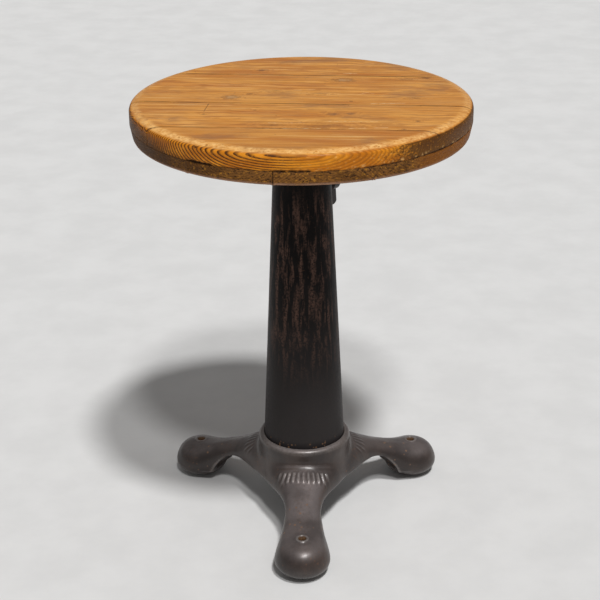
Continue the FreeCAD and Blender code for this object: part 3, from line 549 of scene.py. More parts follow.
def wood_patterns(graph, grain, seed):
    """The noises that the colours and the relief of an upper board share."""
    even = graph.place
    return SimpleNamespace(
        wide=graph.pattern(grain, (0.009, 0.045, 0.045), seed + 11, 3.0),
        fibre=graph.pattern(grain, (0.030, 1.1, 1.1), seed, 6.0, 0.62),
        streak=graph.pattern(grain, (0.010, 0.30, 0.30), seed + 3, 5.0, 0.62),
        pale=graph.pattern(grain, (0.016, 0.75, 0.75), seed + 21, 3.0),
        pores=graph.pattern(grain, (0.20, 2.4, 2.4), seed + 9, 2.0),
        bands=graph.pattern(grain, (0.0055, 0.125, 0.125), seed + 15, 4.0, 0.6),
        lines=graph.pattern(grain, (0.009, 0.42, 0.42), seed + 23, 3.0, 0.55),
        cloud=graph.pattern(even, (0.014, 0.030, 0.030), seed + 7, 5.0, 0.6),
        grime=graph.pattern(even, (0.3, 0.3, 0.5), seed + 4, 5.0, 0.7),
        rim_tone=graph.pattern(even, (0.025, 0.025, 0.08), seed + 2, 4.0),
        flecks=graph.pattern(even, (0.38, 0.38, 0.45), seed + 31, 4.0, 0.65),
        polish=graph.pattern(even, (0.05, 0.05, 0.05), 3.0, 4.0))


def top_colour(graph, look, late):
    """Orange brown with russet bands, pale streaks, dark fibres and brownish clouds."""
    ground = graph.mix(graph.band(look.streak, 0.36, 0.62), TOP_GROUND, TOP_LIGHT)
    lively = graph.band(look.cloud, 0.60, 0.40, 0.35, 1.0)
    deep = graph.times(graph.band(look.bands, 0.51, 0.68), graph.times(lively, 0.50))
    thin = graph.times(graph.band(look.lines, 0.58, 0.70), graph.times(lively, 0.55))
    return graph.layered(ground, (
        (graph.band(look.wide, 0.48, 0.68, 0.0, 0.60), TOP_RUSSET),
        (deep, TOP_DEEP_BAND),
        (graph.band(look.bands, 0.46, 0.34, 0.0, 0.35), TOP_PALE_BAND),
        (thin, TOP_DARK_LINE),
        (graph.band(look.lines, 0.40, 0.30, 0.0, 0.70), TOP_PALE_LINE),
        (graph.times(late, 0.46), TOP_LATE_WOOD),
        (graph.band(look.fibre, 0.54, 0.74, 0.0, 0.55), TOP_DARK_FIBRE),
        (graph.band(look.fibre, 0.42, 0.26, 0.0, 0.40), TOP_PALE_FIBRE),
        (graph.band(look.cloud, 0.53, 0.70, 0.0, 0.55), TOP_CLOUD),
        (graph.band(look.pores, 0.62, 0.78, 0.0, 0.50), TOP_PORE)))


def rim_colour(graph, look, late, side):
    """Deeper golden orange with nearly black late wood, darker at both ends."""
    x, _, z = graph.split(graph.place)
    half = graph.times(x, MM / seat_radius)
    gold = graph.mix(graph.band(look.rim_tone, 0.40, 0.62), RIM_GOLD, RIM_LIGHT_GOLD)
    # The rings are bold at the left of the rim and fainter at the right
    bold = graph.band(half, 0.10, -0.12, 0.34, 0.96)
    bold = graph.times(bold, graph.band(look.grime, 0.68, 0.46, 0.45, 1.0))
    # The dark ends begin raggedly; the left one reaches further in near the joint
    ragged = graph.times(graph.minus(look.grime, 0.5), 0.55)
    low = graph.times(graph.minus(seat_high / MM - 11.0, z), 0.022)
    right_end = graph.band(graph.plus(half, ragged), 0.44, 0.62)
    leftward = graph.plus(graph.plus(graph.times(half, -1.0), ragged), low)
    left_end = graph.band(leftward, 0.62, 0.98)
    ends = graph.times(graph.either(right_end, left_end), side)
    end_colour = graph.mix(graph.band(look.flecks, 0.54, 0.72), RIM_END_DARK, RIM_END_FLECK)
    return graph.layered(gold, (
        (graph.band(look.pale, 0.58, 0.76, 0.0, 0.55), RIM_PALE),
        (graph.band(look.grime, 0.52, 0.72, 0.0, 0.60), RIM_GRIME),
        (graph.times(late, bold), RIM_LATE_WOOD),
        (graph.times(ends, 0.88), end_colour)))


def wood(name, pith, seed, waviness):
    """Old waxed pine: rings, fibres, stains, worn edges with a painted highlight, dark rim
    and dirty seams.
    """
    graph = Graph(name)
    grain = grain_place(graph, False)
    x, y, z = graph.split(graph.place)
    top = graph.band(z, seat_high / MM - 4.0, seat_high / MM - 2.6)
    side = graph.times(near_rim(graph, x, y, 6.0, 3.5), graph.minus(1.0, top))
    look = wood_patterns(graph, grain, seed)

    # Marks bend the rings that run past them
    wobble = graph.times(graph.minus(graph.noise(graph.place, 0.22, 3.0, 0.6), 0.5), 1.9)
    flat = graph.join(x, y, 0.0)
    dark_mark, grey_mark, bend = wood_marks(graph, flat, wobble)
    rings = growth_rings(graph, grain, pith, UPPER_RING, seed, waviness)
    late = late_wood(graph, graph.plus(rings, graph.times(bend, 2.2)), 0.74)

    # Marks, torn fibres and cracks show only on the top
    specks = graph.specks(graph.place, 0.085, 0.10, 0.35)
    dark_mark = graph.times(graph.either(dark_mark, graph.times(specks, 0.8)), top)
    smear = graph.band(look.grime, 0.34, 0.58, 0.55, 1.0)
    bright, crack = wood_scratches(graph, flat, wobble)
    bright = graph.times(graph.times(bright, graph.band(look.pores, 0.42, 0.56)), top)
    crack = graph.times(crack, top)

    # Dirt in the seams, pale worn wood along the edges with a painted highlight on the top
    # edge
    dirt = graph.times(graph.field("dirt"), graph.band(look.grime, 0.22, 0.50, 0.55, 1.0))
    worn = graph.times(graph.field("edge"), graph.band(look.grime, 0.70, 0.40))
    colour = graph.layered(top_colour(graph, look, late), (
        (graph.times(side, 0.97), rim_colour(graph, look, late, side)),
        (graph.times(grey_mark, 0.60), GREY_MARK),
        (graph.times(graph.times(dark_mark, smear), 0.80), DARK_MARK),
        (graph.times(bright, 0.72), TORN_FIBRE),
        (graph.times(crack, 0.80), CRACK),
        (graph.times(dirt, 0.92), SEAM_DIRT),
        (graph.times(worn, 0.80), PALE_EDGE_AND_HIGHLIGHT)))

    roughness = graph.band(look.polish, 0.3, 0.7, 0.28, 0.40)
    roughness = graph.plus(roughness, graph.times(graph.plus(dirt, dark_mark), 0.22))
    roughness = graph.plus(roughness, graph.times(side, 0.22))
    relief = graph.plus(graph.times(look.fibre, 0.5), graph.times(late, 0.25))
    relief = graph.minus(relief, graph.times(look.pores, 0.25))
    relief = graph.minus(relief, graph.times(crack, 2.0))
    normal = graph.bump(relief, 0.22 * MM, 0.55)
    rough_relief = graph.times(look.grime, graph.plus(graph.times(side, 0.6), dirt))
    normal = graph.bump(rough_relief, 0.7 * MM, 0.45, normal)
    return graph.surface(colour, roughness, normal, coat=0.05, coat_roughness=0.16,
                         specular=0.10)


def end_wood(name, pith, seed):
    """The lower boards: dark waxed end grain at the rim, plain dull wood underneath."""
    graph = Graph(name)
    grain = grain_place(graph, True)
    x, y, _ = graph.split(graph.place)
    side = near_rim(graph, x, y, 9.0, 4.0)
    rings = growth_rings(graph, grain, pith, LOWER_RING, seed, LOWER_WAVINESS)
    late = late_wood(graph, rings, 0.80)
    fibre = graph.pattern(grain, (0.04, 0.9, 0.9), seed, 5.0, 0.62)
    blotch = graph.pattern(graph.place, (0.06, 0.06, 0.05), seed, 4.0, 0.6)
    pits = graph.pattern(graph.place, (0.32, 0.32, 0.5), seed + 4, 6.0, 0.7)
    flakes = graph.pattern(graph.place, (0.28, 0.28, 0.4), seed + 6, 5.0, 0.68)

    under = graph.mix(graph.band(blotch, 0.35, 0.65), UNDER_DARK, UNDER_LIGHT)
    under = graph.layered(under, (
        (graph.times(late, 0.45), UNDER_LATE_WOOD),
        (graph.band(fibre, 0.52, 0.80, 0.0, 0.5), UNDER_FIBRE)))
    # The right end of the rim is a warm reddish brown, the left end nearly black
    right = graph.band(x, 0.58 * seat_radius / MM, 0.72 * seat_radius / MM)
    left = graph.band(x, -0.40 * seat_radius / MM, -0.82 * seat_radius / MM)
    end_grain = graph.mix(graph.band(blotch, 0.38, 0.62), END_BROWN, END_LIGHT_BROWN)
    end_grain = graph.layered(end_grain, (
        (graph.times(late, 0.40), END_LATE_WOOD),
        (graph.band(flakes, 0.54, 0.66, 0.0, 0.85), END_FLAKE),
        (graph.band(pits, 0.51, 0.62, 0.0, 0.90), END_PIT),
        (graph.times(right, 0.60), END_REDDISH),
        (graph.times(left, 0.72), END_BLACKISH)))
    dirt = graph.times(graph.field("dirt"), graph.band(pits, 0.25, 0.50, 0.6, 1.0))
    worn = graph.field("edge")
    colour = graph.layered(under, (
        (side, end_grain),
        (graph.times(dirt, 0.92), END_DIRT),
        (graph.times(worn, 0.62), END_WORN)))
    roughness = graph.band(blotch, 0.3, 0.7, 0.42, 0.56)
    relief = graph.minus(graph.times(late, 0.3), graph.times(pits, 1.1))
    normal = graph.bump(relief, 0.6 * MM, 0.5)
    return graph.surface(colour, roughness, normal, specular=0.04)


# Wear of the boards

def seam_distance(points, seams, turn):
    """Distance from the nearest seam of a layer, in metres."""
    across = points[:, 1] * math.cos(turn) - points[:, 0] * math.sin(turn)
    return np.min([np.abs(across - seam) for seam in seams], axis=0)


def seams_of(names, axis):
    """Where one board ends and the next begins, across the row of boards."""
    return [far_edge(name, axis) for name in names[:-1]]


def far_edge(name, axis):
    """Where a board ends towards the next one of its layer."""
    points = points_of(nodes[name])
    if axis == 0:
        return points[:, 0].max()
    across = points[:, 1] * math.cos(GRAIN_TURN) - points[:, 0] * math.sin(GRAIN_TURN)
    return across.max()


def rim_radius(height):
    """Radius of the seat's rim at a height: straight above, drawn in a little below."""
    share = np.clip((layer_height - height) / (layer_height - seat_low), 0, 1)
    return seat_radius - LOWER_TAPER * share


def rim_place(points):
    """Angle round the seat from the front (-Y) towards the right (+X), in degrees."""
    return np.degrees(np.arctan2(points[:, 0], -points[:, 1]))


def stretch(values, low, high, soft=4.0):
    """1 from low to high and 0 outside, with soft ends."""
    return window(values, low - soft, low, high, high + soft)


def layer_joint(points, angle):
    """How wide the joint of the two layers is torn open at the rim: 0 closed, 1 open."""
    open_joint = 0.32 * stretch(angle, -32, 24)
    open_joint = np.maximum(open_joint, 1.0 * stretch(angle, -36, -28, 2.0))
    open_joint = np.maximum(open_joint, 0.85 * stretch(angle, -7, 3, 2.0))
    open_joint = np.maximum(open_joint, 0.45 * stretch(angle, 20, 75, 6.0))
    open_joint = np.maximum(open_joint, 0.30 * ramp(np.abs(angle), 95, 110))
    chips = noise(points * [1, 1, 0.3], 5 * MM, seed=101, octaves=3)
    return open_joint * ramp(chips, -0.65, 0.25)


def rim_shortfall(points, radius):
    """How far points close to the rim fall short of it; 0 on the sloping top edge."""
    full = np.where(points[:, 2] < slope_foot, rim_radius(points[:, 2]), radius)
    return np.maximum(np.where(radius > full - 2.0 * MM, full - radius, 0.0), 0.0)


def top_shortfall(points, radius):
    """How far points close to the flat top fall short of it."""
    flat_top = (radius < flat_top_radius) & (points[:, 2] > seat_high - 1.8 * MM)
    return np.where(flat_top, seat_high - points[:, 2], 0.0)


def rim_wear(points, layer_gap, torn):
    """How far the rim is worn inwards: a little everywhere, most where its joint is torn."""
    near_joint = ramp(layer_gap, 0.5 * MM + 2.6 * MM * torn, 0.2 * MM)
    below_slope = ramp(points[:, 2], mid_slope, slope_foot)
    inward = 0.20 * MM * (1 + noise(points, 60 * MM, seed=77, octaves=2))
    inward = inward + near_joint * torn * 1.9 * MM
    return inward + 0.07 * MM * (1 + noise(points, 3 * MM, seed=79, octaves=2)) * below_slope


def face_wear(points, radius):
    """How deep the shallow hollows of the flat faces are."""
    sunk = 0.13 * MM * (1 + noise(points * [0.35, 1, 1], 26 * MM, seed=85, octaves=2))
    sunk = sunk + 0.05 * MM * (1 + noise(points * [0.2, 1, 1], 3 * MM, seed=86, octaves=2))
    inner = ramp(radius, seat_radius - 12 * MM, seat_radius - 20 * MM)
    return sunk * (0.15 + 0.85 * inner)


def edge_nicks(points, radius, angle):
    """Few small nicks along the top edge, more of them at the left: 0 none, 1 full."""
    top_edge = ramp(radius, seat_radius - 12 * MM, seat_radius - 5 * MM)
    top_edge = top_edge * ramp(points[:, 2], slope_foot - 2 * MM, mid_slope)
    seldom = 0.62 - 0.20 * stretch(angle, -80, -30, 10)
    return top_edge * ramp(noise(points, 5 * MM, seed=88, octaves=2) - seldom, 0.0, 0.20)


def seam_dirt(points, seam_gap, upper):
    """Dirt in the seams: along all of the top ones, and in the centre one below."""
    if upper:
        ragged = ramp(noise(points * [0.25, 1, 1], 9 * MM, seed=92, octaves=2), -0.6, 0.4)
        on_top = ramp(points[:, 2], slope_foot, mid_slope)
        return ramp(seam_gap, 1.5 * MM, 0.4 * MM) * on_top * (0.34 + 0.58 * ragged)
    centre_joint = ramp(np.abs(points[:, 0] - centre_joint_place), 12 * MM, 6 * MM)
    return ramp(seam_gap, 1.0 * MM, 0.3 * MM) * centre_joint * 0.75


def upper_pale_and_highlight(points, radius, angle, rim):
    """Pale worn wood on the top edge, partly a painted highlight that is stronger at the
    front, and dots along the right of the layer joint.
    """
    drop = seat_high - points[:, 2]
    pale = ramp(radius, seat_radius - 13 * MM, seat_radius - 7 * MM)
    pale = pale * ramp(drop, 3.0 * MM, 2.1 * MM)
    pale = pale * (0.45 + 0.55 * ramp(noise(points, 7 * MM, seed=95, octaves=3), -0.5, 0.4))
    # The painted highlight is strongest at the front and fainter from the sides round to the
    # back
    pale = pale * (1 - 0.55 * ramp(np.abs(angle), 45, 80))
    dots = ramp(noise(points, 2.0 * MM, seed=96), 0.15, 0.6) * stretch(angle, 18, 75, 6)
    above = points[:, 2] - layer_height
    dots = dots * window(above, 0.8 * MM, 1.6 * MM, 2.4 * MM, 3.6 * MM)
    return np.maximum(pale, dots * rim * 0.6)


def lower_pale(points, rim):
    """Pale worn wood along the bottom edge."""
    rise = points[:, 2] - seat_low
    pale = window(rise, 0.2 * MM, 0.8 * MM, 2.2 * MM, 3.4 * MM) * rim
    return pale * (0.55 + 0.45 * ramp(noise(points, 9 * MM, seed=97, octaves=2), -0.5, 0.3))


def worn_board(node, voxel, seams, turn, upper):
    """A board with softened edges, small dents, a ragged layer joint and a worn rim."""
    obj = remeshed_copy(node, node + "_worn", voxel)
    points = points_of(obj)
    seam_gap = seam_distance(points, seams, turn)
    layer_gap = np.abs(points[:, 2] - layer_height)
    gap = np.minimum(seam_gap, layer_gap)
    rounded = smoothed(points, edges_of(obj), 2)
    keep = ramp(gap, 2.2 * MM, 0.8 * MM)
    points = points + (rounded - points) * (1 - keep)[:, None]
    radius = np.hypot(points[:, 0], points[:, 1])
    outward = points[:, :2] / np.maximum(radius, 1e-6)[:, None]

    # Square the corners again where boards and layers meet, so that joints stay closed
    corner = ramp(gap, 1.8 * MM, 1.2 * MM)
    push = corner * rim_shortfall(points, radius)
    points[:, :2] += outward * push[:, None]
    radius = radius + push
    if upper:
        away = ramp(layer_gap, 2 * MM, 4 * MM)
        points[:, 2] += corner * away * top_shortfall(points, radius) * 0.8
    set_points(obj, points)
    normals = normals_of(obj)
    rim = ramp(radius, seat_radius - 9 * MM, seat_radius - 4 * MM)
    angle = rim_place(points)

    torn = layer_joint(points, angle)
    points[:, :2] -= outward * (rim * rim_wear(points, layer_gap, torn))[:, None]
    points[:, 2] -= normals[:, 2] * face_wear(points, radius)
    nicks = np.zeros(len(points))
    if upper:
        nicks = edge_nicks(points, radius, angle)
        points -= normals * (nicks * 1.1 * MM)[:, None]
    set_points(obj, points)

    joint = ramp(layer_gap, 0.4 * MM + 2.2 * MM * torn, 0.2 * MM) * rim
    joint = joint * np.clip(torn * 2.2, 0, 1)
    dirt = np.maximum(seam_dirt(points, seam_gap, upper), joint)
    dirt = np.clip(np.maximum(dirt, nicks * 0.8), 0, 1)
    add_field(obj, "dirt", dirt)
    # The pale edge of the upper boards is partly a painted highlight
    pale = upper_pale_and_highlight(points, radius, angle, rim) if upper else lower_pale(points, rim)
    add_field(obj, "edge", np.clip(pale * (1 - dirt), 0, 1))
    return obj


# Pith of each board: its place across the grain and its height over the joint, in mm
UPPER_PITH = ((-179.0, 21.0), (-75.0, -62.0), (40.0, 75.0), (120.0, -40.0))
LOWER_PITH = ((140.0, -40.0), (60.0, 25.0), (-20.0, -50.0), (-125.0, 30.0))


def make_seat():
    """The eight worn boards with their materials."""
    upper_seams = seams_of(UPPER_BOARDS, 1)
    lower_seams = seams_of(LOWER_BOARDS, 0)
    joint_height = layer_height / MM
    for index, node in enumerate(UPPER_BOARDS):
        board = worn_board(node, UPPER_VOXEL, upper_seams, GRAIN_TURN, True)
        across, above = UPPER_PITH[index]
        waviness = FRONT_WAVINESS if index == 0 else UPPER_WAVINESS
        board.data.materials.append(wood(node + "_wood", (across, joint_height + above),
                                         3.0 + index * 7.3, waviness))
    for index, node in enumerate(LOWER_BOARDS):
        board = worn_board(node, LOWER_VOXEL, lower_seams, math.radians(-90), False)
        across, above = LOWER_PITH[index]
        board.data.materials.append(end_wood(node + "_wood", (across, joint_height + above),
                                             41.0 + index * 5.1))


# Old dark iron

# Colours of the small iron pieces, of the column and of the foot
IRON_DARK = (0.014, 0.011, 0.010)
IRON_LIGHT = (0.030, 0.023, 0.020)
IRON_BROWN = (0.050, 0.036, 0.030)
IRON_RUST = (0.13, 0.055, 0.022)
# Nearly black top of the column: painted shade of the seat above it
COLUMN_TOP_SHADE = (0.0060, 0.0048, 0.0048)
COLUMN_GREY = (0.030, 0.0265, 0.026)
COLUMN_MOTTLE = (0.024, 0.020, 0.019)
COLUMN_RUST = (0.125, 0.070, 0.052)
COLUMN_FRECKLE = (0.11, 0.055, 0.030)
COLUMN_GRIT = (0.075, 0.066, 0.062)
CREASE_DARK = (0.010, 0.008, 0.009)
CREASE_RUST = (0.21, 0.115, 0.060)
FOOT_DARK = (0.026, 0.019, 0.017)
FOOT_BROWN = (0.050, 0.034, 0.028)
FOOT_LIGHT_BROWN = (0.078, 0.050, 0.038)
# Light iron of the tops: partly worn metal, partly a painted sheen
FOOT_POLISH_AND_SHEEN = (0.175, 0.148, 0.140)
FOOT_POLISH_AND_SHEEN_LIGHT = (0.250, 0.218, 0.218)
FOOT_FRECKLE = (0.17, 0.080, 0.040)
FOOT_HOLLOW = (0.030, 0.019, 0.015)
FOOT_WORN = (0.300, 0.270, 0.255)
FOOT_RUST_DOT = (0.25, 0.140, 0.080)
HOLE_DARK = (0.040, 0.020, 0.010)
HOLE_RUST = (0.18, 0.095, 0.042)


def iron_skin(graph, rust_low):
    """Shared pattern of the old iron: mottling, fine grit and rust freckles."""
    cloud = graph.pattern(graph.place, (0.03, 0.03, 0.016), 1.0, 5.0, 0.6)
    fine = graph.noise(graph.place, 0.45, 5.0, 0.65)
    grit = graph.noise(graph.place, 1.5, 3.0, 0.6)
    freckle_place = graph.stretched(graph.place, 1.0, 1.0, 0.7, 2.0)
    patchy = graph.band(graph.noise(graph.place, 0.035, 3.0), 0.46, 0.62)
    freckles = graph.times(graph.band(graph.noise(freckle_place, 0.40, 4.0, 0.7),
                                      rust_low, rust_low + 0.10), patchy)
    return cloud, fine, grit, freckles


def iron_relief(graph, fine, grit, freckles):
    height = graph.plus(graph.times(fine, 0.6), graph.times(grit, 0.25))
    height = graph.plus(height, graph.times(freckles, 0.2))
    normal = graph.bump(height, 0.20 * MM, 0.40)
    return graph.bump(graph.noise(graph.place, 0.09, 2.0), 0.9 * MM, 0.30, normal)


def plain_iron(name):
    """Nearly black brown iron for the small iron pieces."""
    graph = Graph(name)
    cloud, fine, grit, freckles = iron_skin(graph, 0.60)
    colour = graph.mix(graph.band(cloud, 0.35, 0.68), IRON_DARK, IRON_LIGHT)
    colour = graph.layered(colour, (
        (graph.band(fine, 0.56, 0.80, 0.0, 0.5), IRON_BROWN),
        (graph.times(freckles, 0.7), IRON_RUST)))
    roughness = graph.band(fine, 0.30, 0.72, 0.34, 0.50)
    return graph.surface(colour, roughness, iron_relief(graph, fine, grit, freckles),
                         specular=0.3)


def column_iron():
    """Black at the top as painted shade of the seat above, with rust brown runs below it,
    greyer towards the foot.
    """
    graph = Graph("column_iron")
    x, y, z = graph.split(graph.place)
    cloud, fine, grit, freckles = iron_skin(graph, 0.60)
    around = graph.math("ARCTAN2", y, x)
    runs_place = graph.join(graph.times(around, 6.0), 0.0, graph.times(z, 0.020))
    runs = graph.noise(runs_place, 1.0, 5.0, 0.62, 0.4)
    patches = graph.pattern(graph.place, (0.085, 0.085, 0.030), 6.0, 4.0, 0.62)
    zone = graph.times(graph.band(z, 400.0, 350.0), graph.band(z, 150.0, 260.0))
    stain = graph.either(graph.band(runs, 0.48, 0.62),
                         graph.band(patches, 0.52, 0.66, 0.0, 0.8))
    stain = graph.times(stain, graph.band(fine, 0.38, 0.56, 0.10, 1.0))
    dots = graph.times(freckles, graph.band(z, 150.0, 300.0, 0.25, 1.0))
    # Scattered rust dots in the dark crease over the collar
    crease = graph.band(z, collar_top / MM + 9.0, collar_top / MM + 1.0)
    spots = graph.specks(graph.place, 0.30, 0.42, 0.40)
    # Painted shade: the column is painted darker towards the top, under the seat
    colour = graph.mix(graph.band(z, 300.0, 120.0), COLUMN_TOP_SHADE, COLUMN_GREY)
    colour = graph.layered(colour, (
        (graph.band(cloud, 0.40, 0.70, 0.0, 0.35), COLUMN_MOTTLE),
        (graph.times(graph.times(stain, zone), 0.85), COLUMN_RUST),
        (graph.times(dots, 0.6), COLUMN_FRECKLE),
        (graph.band(grit, 0.60, 0.78, 0.0, 0.30), COLUMN_GRIT),
        (graph.times(crease, 0.65), CREASE_DARK),
        (graph.times(graph.times(crease, spots), 0.8), CREASE_RUST)))
    roughness = graph.band(fine, 0.30, 0.72, 0.40, 0.55)
    return graph.surface(colour, roughness, iron_relief(graph, fine, grit, freckles),
                         metallic=0.05, specular=0.06)


def foot_iron():
    """Cast iron worn to a purplish grey on top, partly a painted sheen, dark reddish brown
    at the sides.
    """
    graph = Graph("foot_iron")
    cloud, fine, grit, freckles = iron_skin(graph, 0.585)
    bulge_field = graph.field("bulge")
    # Lighter, more metallic iron on top: partly worn to bright metal, partly a painted sheen
    worn_and_sheen = graph.field("worn_and_sheen")
    worn_and_sheen = graph.times(worn_and_sheen, graph.band(cloud, 0.36, 0.60, 0.50, 1.0))
    worn_and_sheen = graph.times(worn_and_sheen, graph.band(fine, 0.66, 0.42, 0.55, 1.0))
    dark = graph.mix(graph.band(cloud, 0.36, 0.66), FOOT_DARK, FOOT_BROWN)
    dark = graph.mix(graph.band(fine, 0.54, 0.78, 0.0, 0.50), dark, FOOT_LIGHT_BROWN)
    polish_and_sheen_colour = graph.mix(graph.band(fine, 0.34, 0.66), FOOT_POLISH_AND_SHEEN, FOOT_POLISH_AND_SHEEN_LIGHT)
    hollow = graph.band(bulge_field, -0.10, -0.50)
    worn = graph.times(graph.band(bulge_field, 0.25, 0.85),
                       graph.band(fine, 0.34, 0.60, 0.45, 1.0))
    # Orange rust dots where the toes begin, and rust in the screw holes
    spots = graph.specks(graph.stretched(graph.place, 1.0, 1.0, 1.0, 3.1), 0.17, 0.30, 0.40)
    spots = graph.times(spots, graph.field("toe_neck"))
    hole = graph.field("hole")
    hole_colour = graph.mix(graph.band(grit, 0.35, 0.65), HOLE_DARK, HOLE_RUST)
    colour = graph.layered(dark, (
        (worn_and_sheen, polish_and_sheen_colour),
        (graph.times(freckles, 0.70), FOOT_FRECKLE),
        (graph.times(hollow, 0.65), FOOT_HOLLOW),
        (graph.times(worn, 0.50), FOOT_WORN),
        (graph.times(spots, 0.7), FOOT_RUST_DOT),
        (hole, hole_colour)))
    bright = graph.times(graph.either(worn_and_sheen, graph.times(worn, 0.6)),
                         graph.minus(1.0, hole))
    metallic = graph.times(bright, 0.55)
    roughness = graph.band(fine, 0.30, 0.72, 0.34, 0.46)
    roughness = graph.plus(roughness, graph.times(graph.either(freckles, hole), 0.25))
    normal = iron_relief(graph, fine, grit, freckles)
    return graph.surface(colour, roughness, normal, metallic=metallic, coat=0.25,
                         coat_roughness=0.24, specular=0.35)


def metal(name, dark, light, roughness):
    """Plain turned metal with fine marks and a dull film."""
    graph = Graph(name)
    film = graph.noise(graph.place, 0.08, 4.0, 0.6)
    marks = graph.pattern(graph.place, (0.2, 0.2, 4.0), 1.0, 3.0)
    colour = graph.mix(graph.band(film, 0.34, 0.68), dark, light)
    rough = graph.band(film, 0.3, 0.7, roughness - 0.06, roughness + 0.10)
    normal = graph.bump(marks, 0.05 * MM, 0.35)
    return graph.surface(colour, rough, normal, metallic=1.0)


# Ribs of the plain fan on each arm, spread to both sides of the arm's middle line
RIB_COUNT = 11
RIB_SPREAD = math.radians(25.0)
RIB_INNER = 57.0 * MM
RIB_OUTER = 71.5 * MM
RIB_HALF_WIDTH = 1.5 * MM
RIB_HEIGHT = 1.1 * MM

# Share of the broad form that is given back after the creases are melted
KEPT_FORM = 0.45


def rib_height(points, normals):
    """Height of the fans of plain ribs at points of the foot, and 0 away from them."""
    radius = np.hypot(points[:, 0], points[:, 1])
    angle = np.arctan2(points[:, 1], points[:, 0])
    height = np.zeros(len(points))
    length = window(radius, RIB_INNER, RIB_INNER + 2.5 * MM, RIB_OUTER - 4 * MM,
                    RIB_OUTER + 1 * MM)
    length = length * ramp(normals[:, 2], 0.35, 0.65)
    for direction in ARM_DIRECTIONS:
        off = np.angle(np.exp(1j * (angle - direction)))
        for index in range(RIB_COUNT):
            centre = RIB_SPREAD * (2 * index / (RIB_COUNT - 1) - 1)
            away = np.abs(off - centre) * radius
            shape = np.sqrt(np.clip(1 - (away / RIB_HALF_WIDTH) ** 2, 0, 1))
            height = np.maximum(height, shape * length)
    return height * RIB_HEIGHT


def melted(points, edges, region, rounds):
    """Points of a region with its creases melted, its broad form kept."""
    index = np.flatnonzero(region)
    place = np.full(len(points), -1)
    place[index] = np.arange(len(index))
    inside = (place[edges] >= 0).all(axis=1)
    local_edges = place[edges[inside]]
    local = points[index]
    flat = smoothed(local, local_edges, rounds)
    lost = smoothed(local - flat, local_edges, rounds)
    result = points.copy()
    result[index] = flat + KEPT_FORM * lost
    return result


def from_toe_holes(points):
    """Distance from the axis of the nearest screw hole in a toe."""
    return np.min([
        np.hypot(points[:, 0] - TOE_CIRCLE * math.cos(direction),
                 points[:, 1] - TOE_CIRCLE * math.sin(direction))
        for direction in ARM_DIRECTIONS], axis=0)


def foot_flow(points, edges, radius):
    """Points of the foot with the creases between hub and arms melted."""
    height = points[:, 2]
    region = (radius > 45 * MM) & (radius < 116 * MM)
    region = region & (height > 6 * MM) & (height < 87 * MM)
    flowing = melted(points, edges, region, 170)
    joins = window(radius, 48 * MM, 51 * MM, 94 * MM, 108 * MM)
    joins = joins * window(height, 9 * MM, 16 * MM, 77 * MM, 84 * MM)
    return points + (flowing - points) * joins[:, None]


def foot_relief(points, normals, toe_distance):
    """Height of ribs, unevenness and the raised rings round the screw holes."""
    relief = rib_height(points, normals)
    relief = relief * (0.55 + 0.45 * ramp(points[:, 1], 0.0, -30 * MM))
    relief = relief + 0.18 * MM * noise(points, 30 * MM, seed=7, octaves=2)
    relief = relief + 0.06 * MM * noise(points, 4 * MM, seed=9, octaves=3)
    relief = relief * ramp(toe_distance, 4.2 * MM, 6 * MM)
    ring = window(toe_distance, 3.7 * MM, 5.2 * MM, 6.0 * MM, 7.8 * MM)
    relief = relief + 0.9 * MM * ring
    return relief * ramp(points[:, 2], 1.5 * MM, 6 * MM)


def worn_and_sheen_amount(points, radius):
    """How far the iron is worn to bright metal, partly a painted sheen: most on the front
    arm, and on the front of the collar as a painted highlight.
    """
    # Painted highlight and sheen: the front arm and the front of the collar are painted
    # lighter
    front_arm_wear_and_sheen = ramp(points[:, 1], -48 * MM, -66 * MM) * ramp(radius, 122 * MM, 104 * MM)
    toe = ramp(radius, 112 * MM, 124 * MM)
    collar_front_highlight = ramp(points[:, 1], -18 * MM, -44 * MM) * ramp(radius, 55 * MM, 52 * MM)
    amount = 0.30 + 0.70 * np.maximum(front_arm_wear_and_sheen, collar_front_highlight) + 0.30 * toe
    return amount * (1 - 0.7 * ramp(radius, 57 * MM, 54 * MM) * (1 - collar_front_highlight))


def make_foot():
    """The cast foot with soft edges, a skin of small unevenness and fans of plain ribs."""
    foot = remeshed_copy("base_casting", "base_casting_worn", FOOT_VOXEL)
    edges = edges_of(foot)
    points = points_of(foot)
    radius = np.hypot(points[:, 0], points[:, 1])
    points = foot_flow(smoothed(points, edges, 6), edges, radius)
    set_points(foot, points)
    normals = normals_of(foot)

    toe_distance = from_toe_holes(points)
    points = points + normals * foot_relief(points, normals, toe_distance)[:, None]
    points[:, 2] = np.maximum(points[:, 2], 0.0)
    points = smoothed(points, edges, 1, 0.35)
    set_points(foot, points)
    normals = normals_of(foot)

    add_field(foot, "bulge", bulge(points, normals, edges, 30, 0.8 * MM))
    # Up-facing iron is painted lighter: partly wear, partly a painted sheen
    upward = ramp(normals[:, 2], 0.35, 0.88)
    shown = ramp(points[:, 2], 4 * MM, 14 * MM)
    add_field(foot, "worn_and_sheen", upward * shown * worn_and_sheen_amount(points, radius))
    add_field(foot, "toe_neck", stretch(radius, 98 * MM, 128 * MM, 8 * MM) * shown)
    add_field(foot, "hole", ramp(toe_distance, 5.0 * MM, 4.2 * MM))
    foot.data.materials.append(foot_iron())


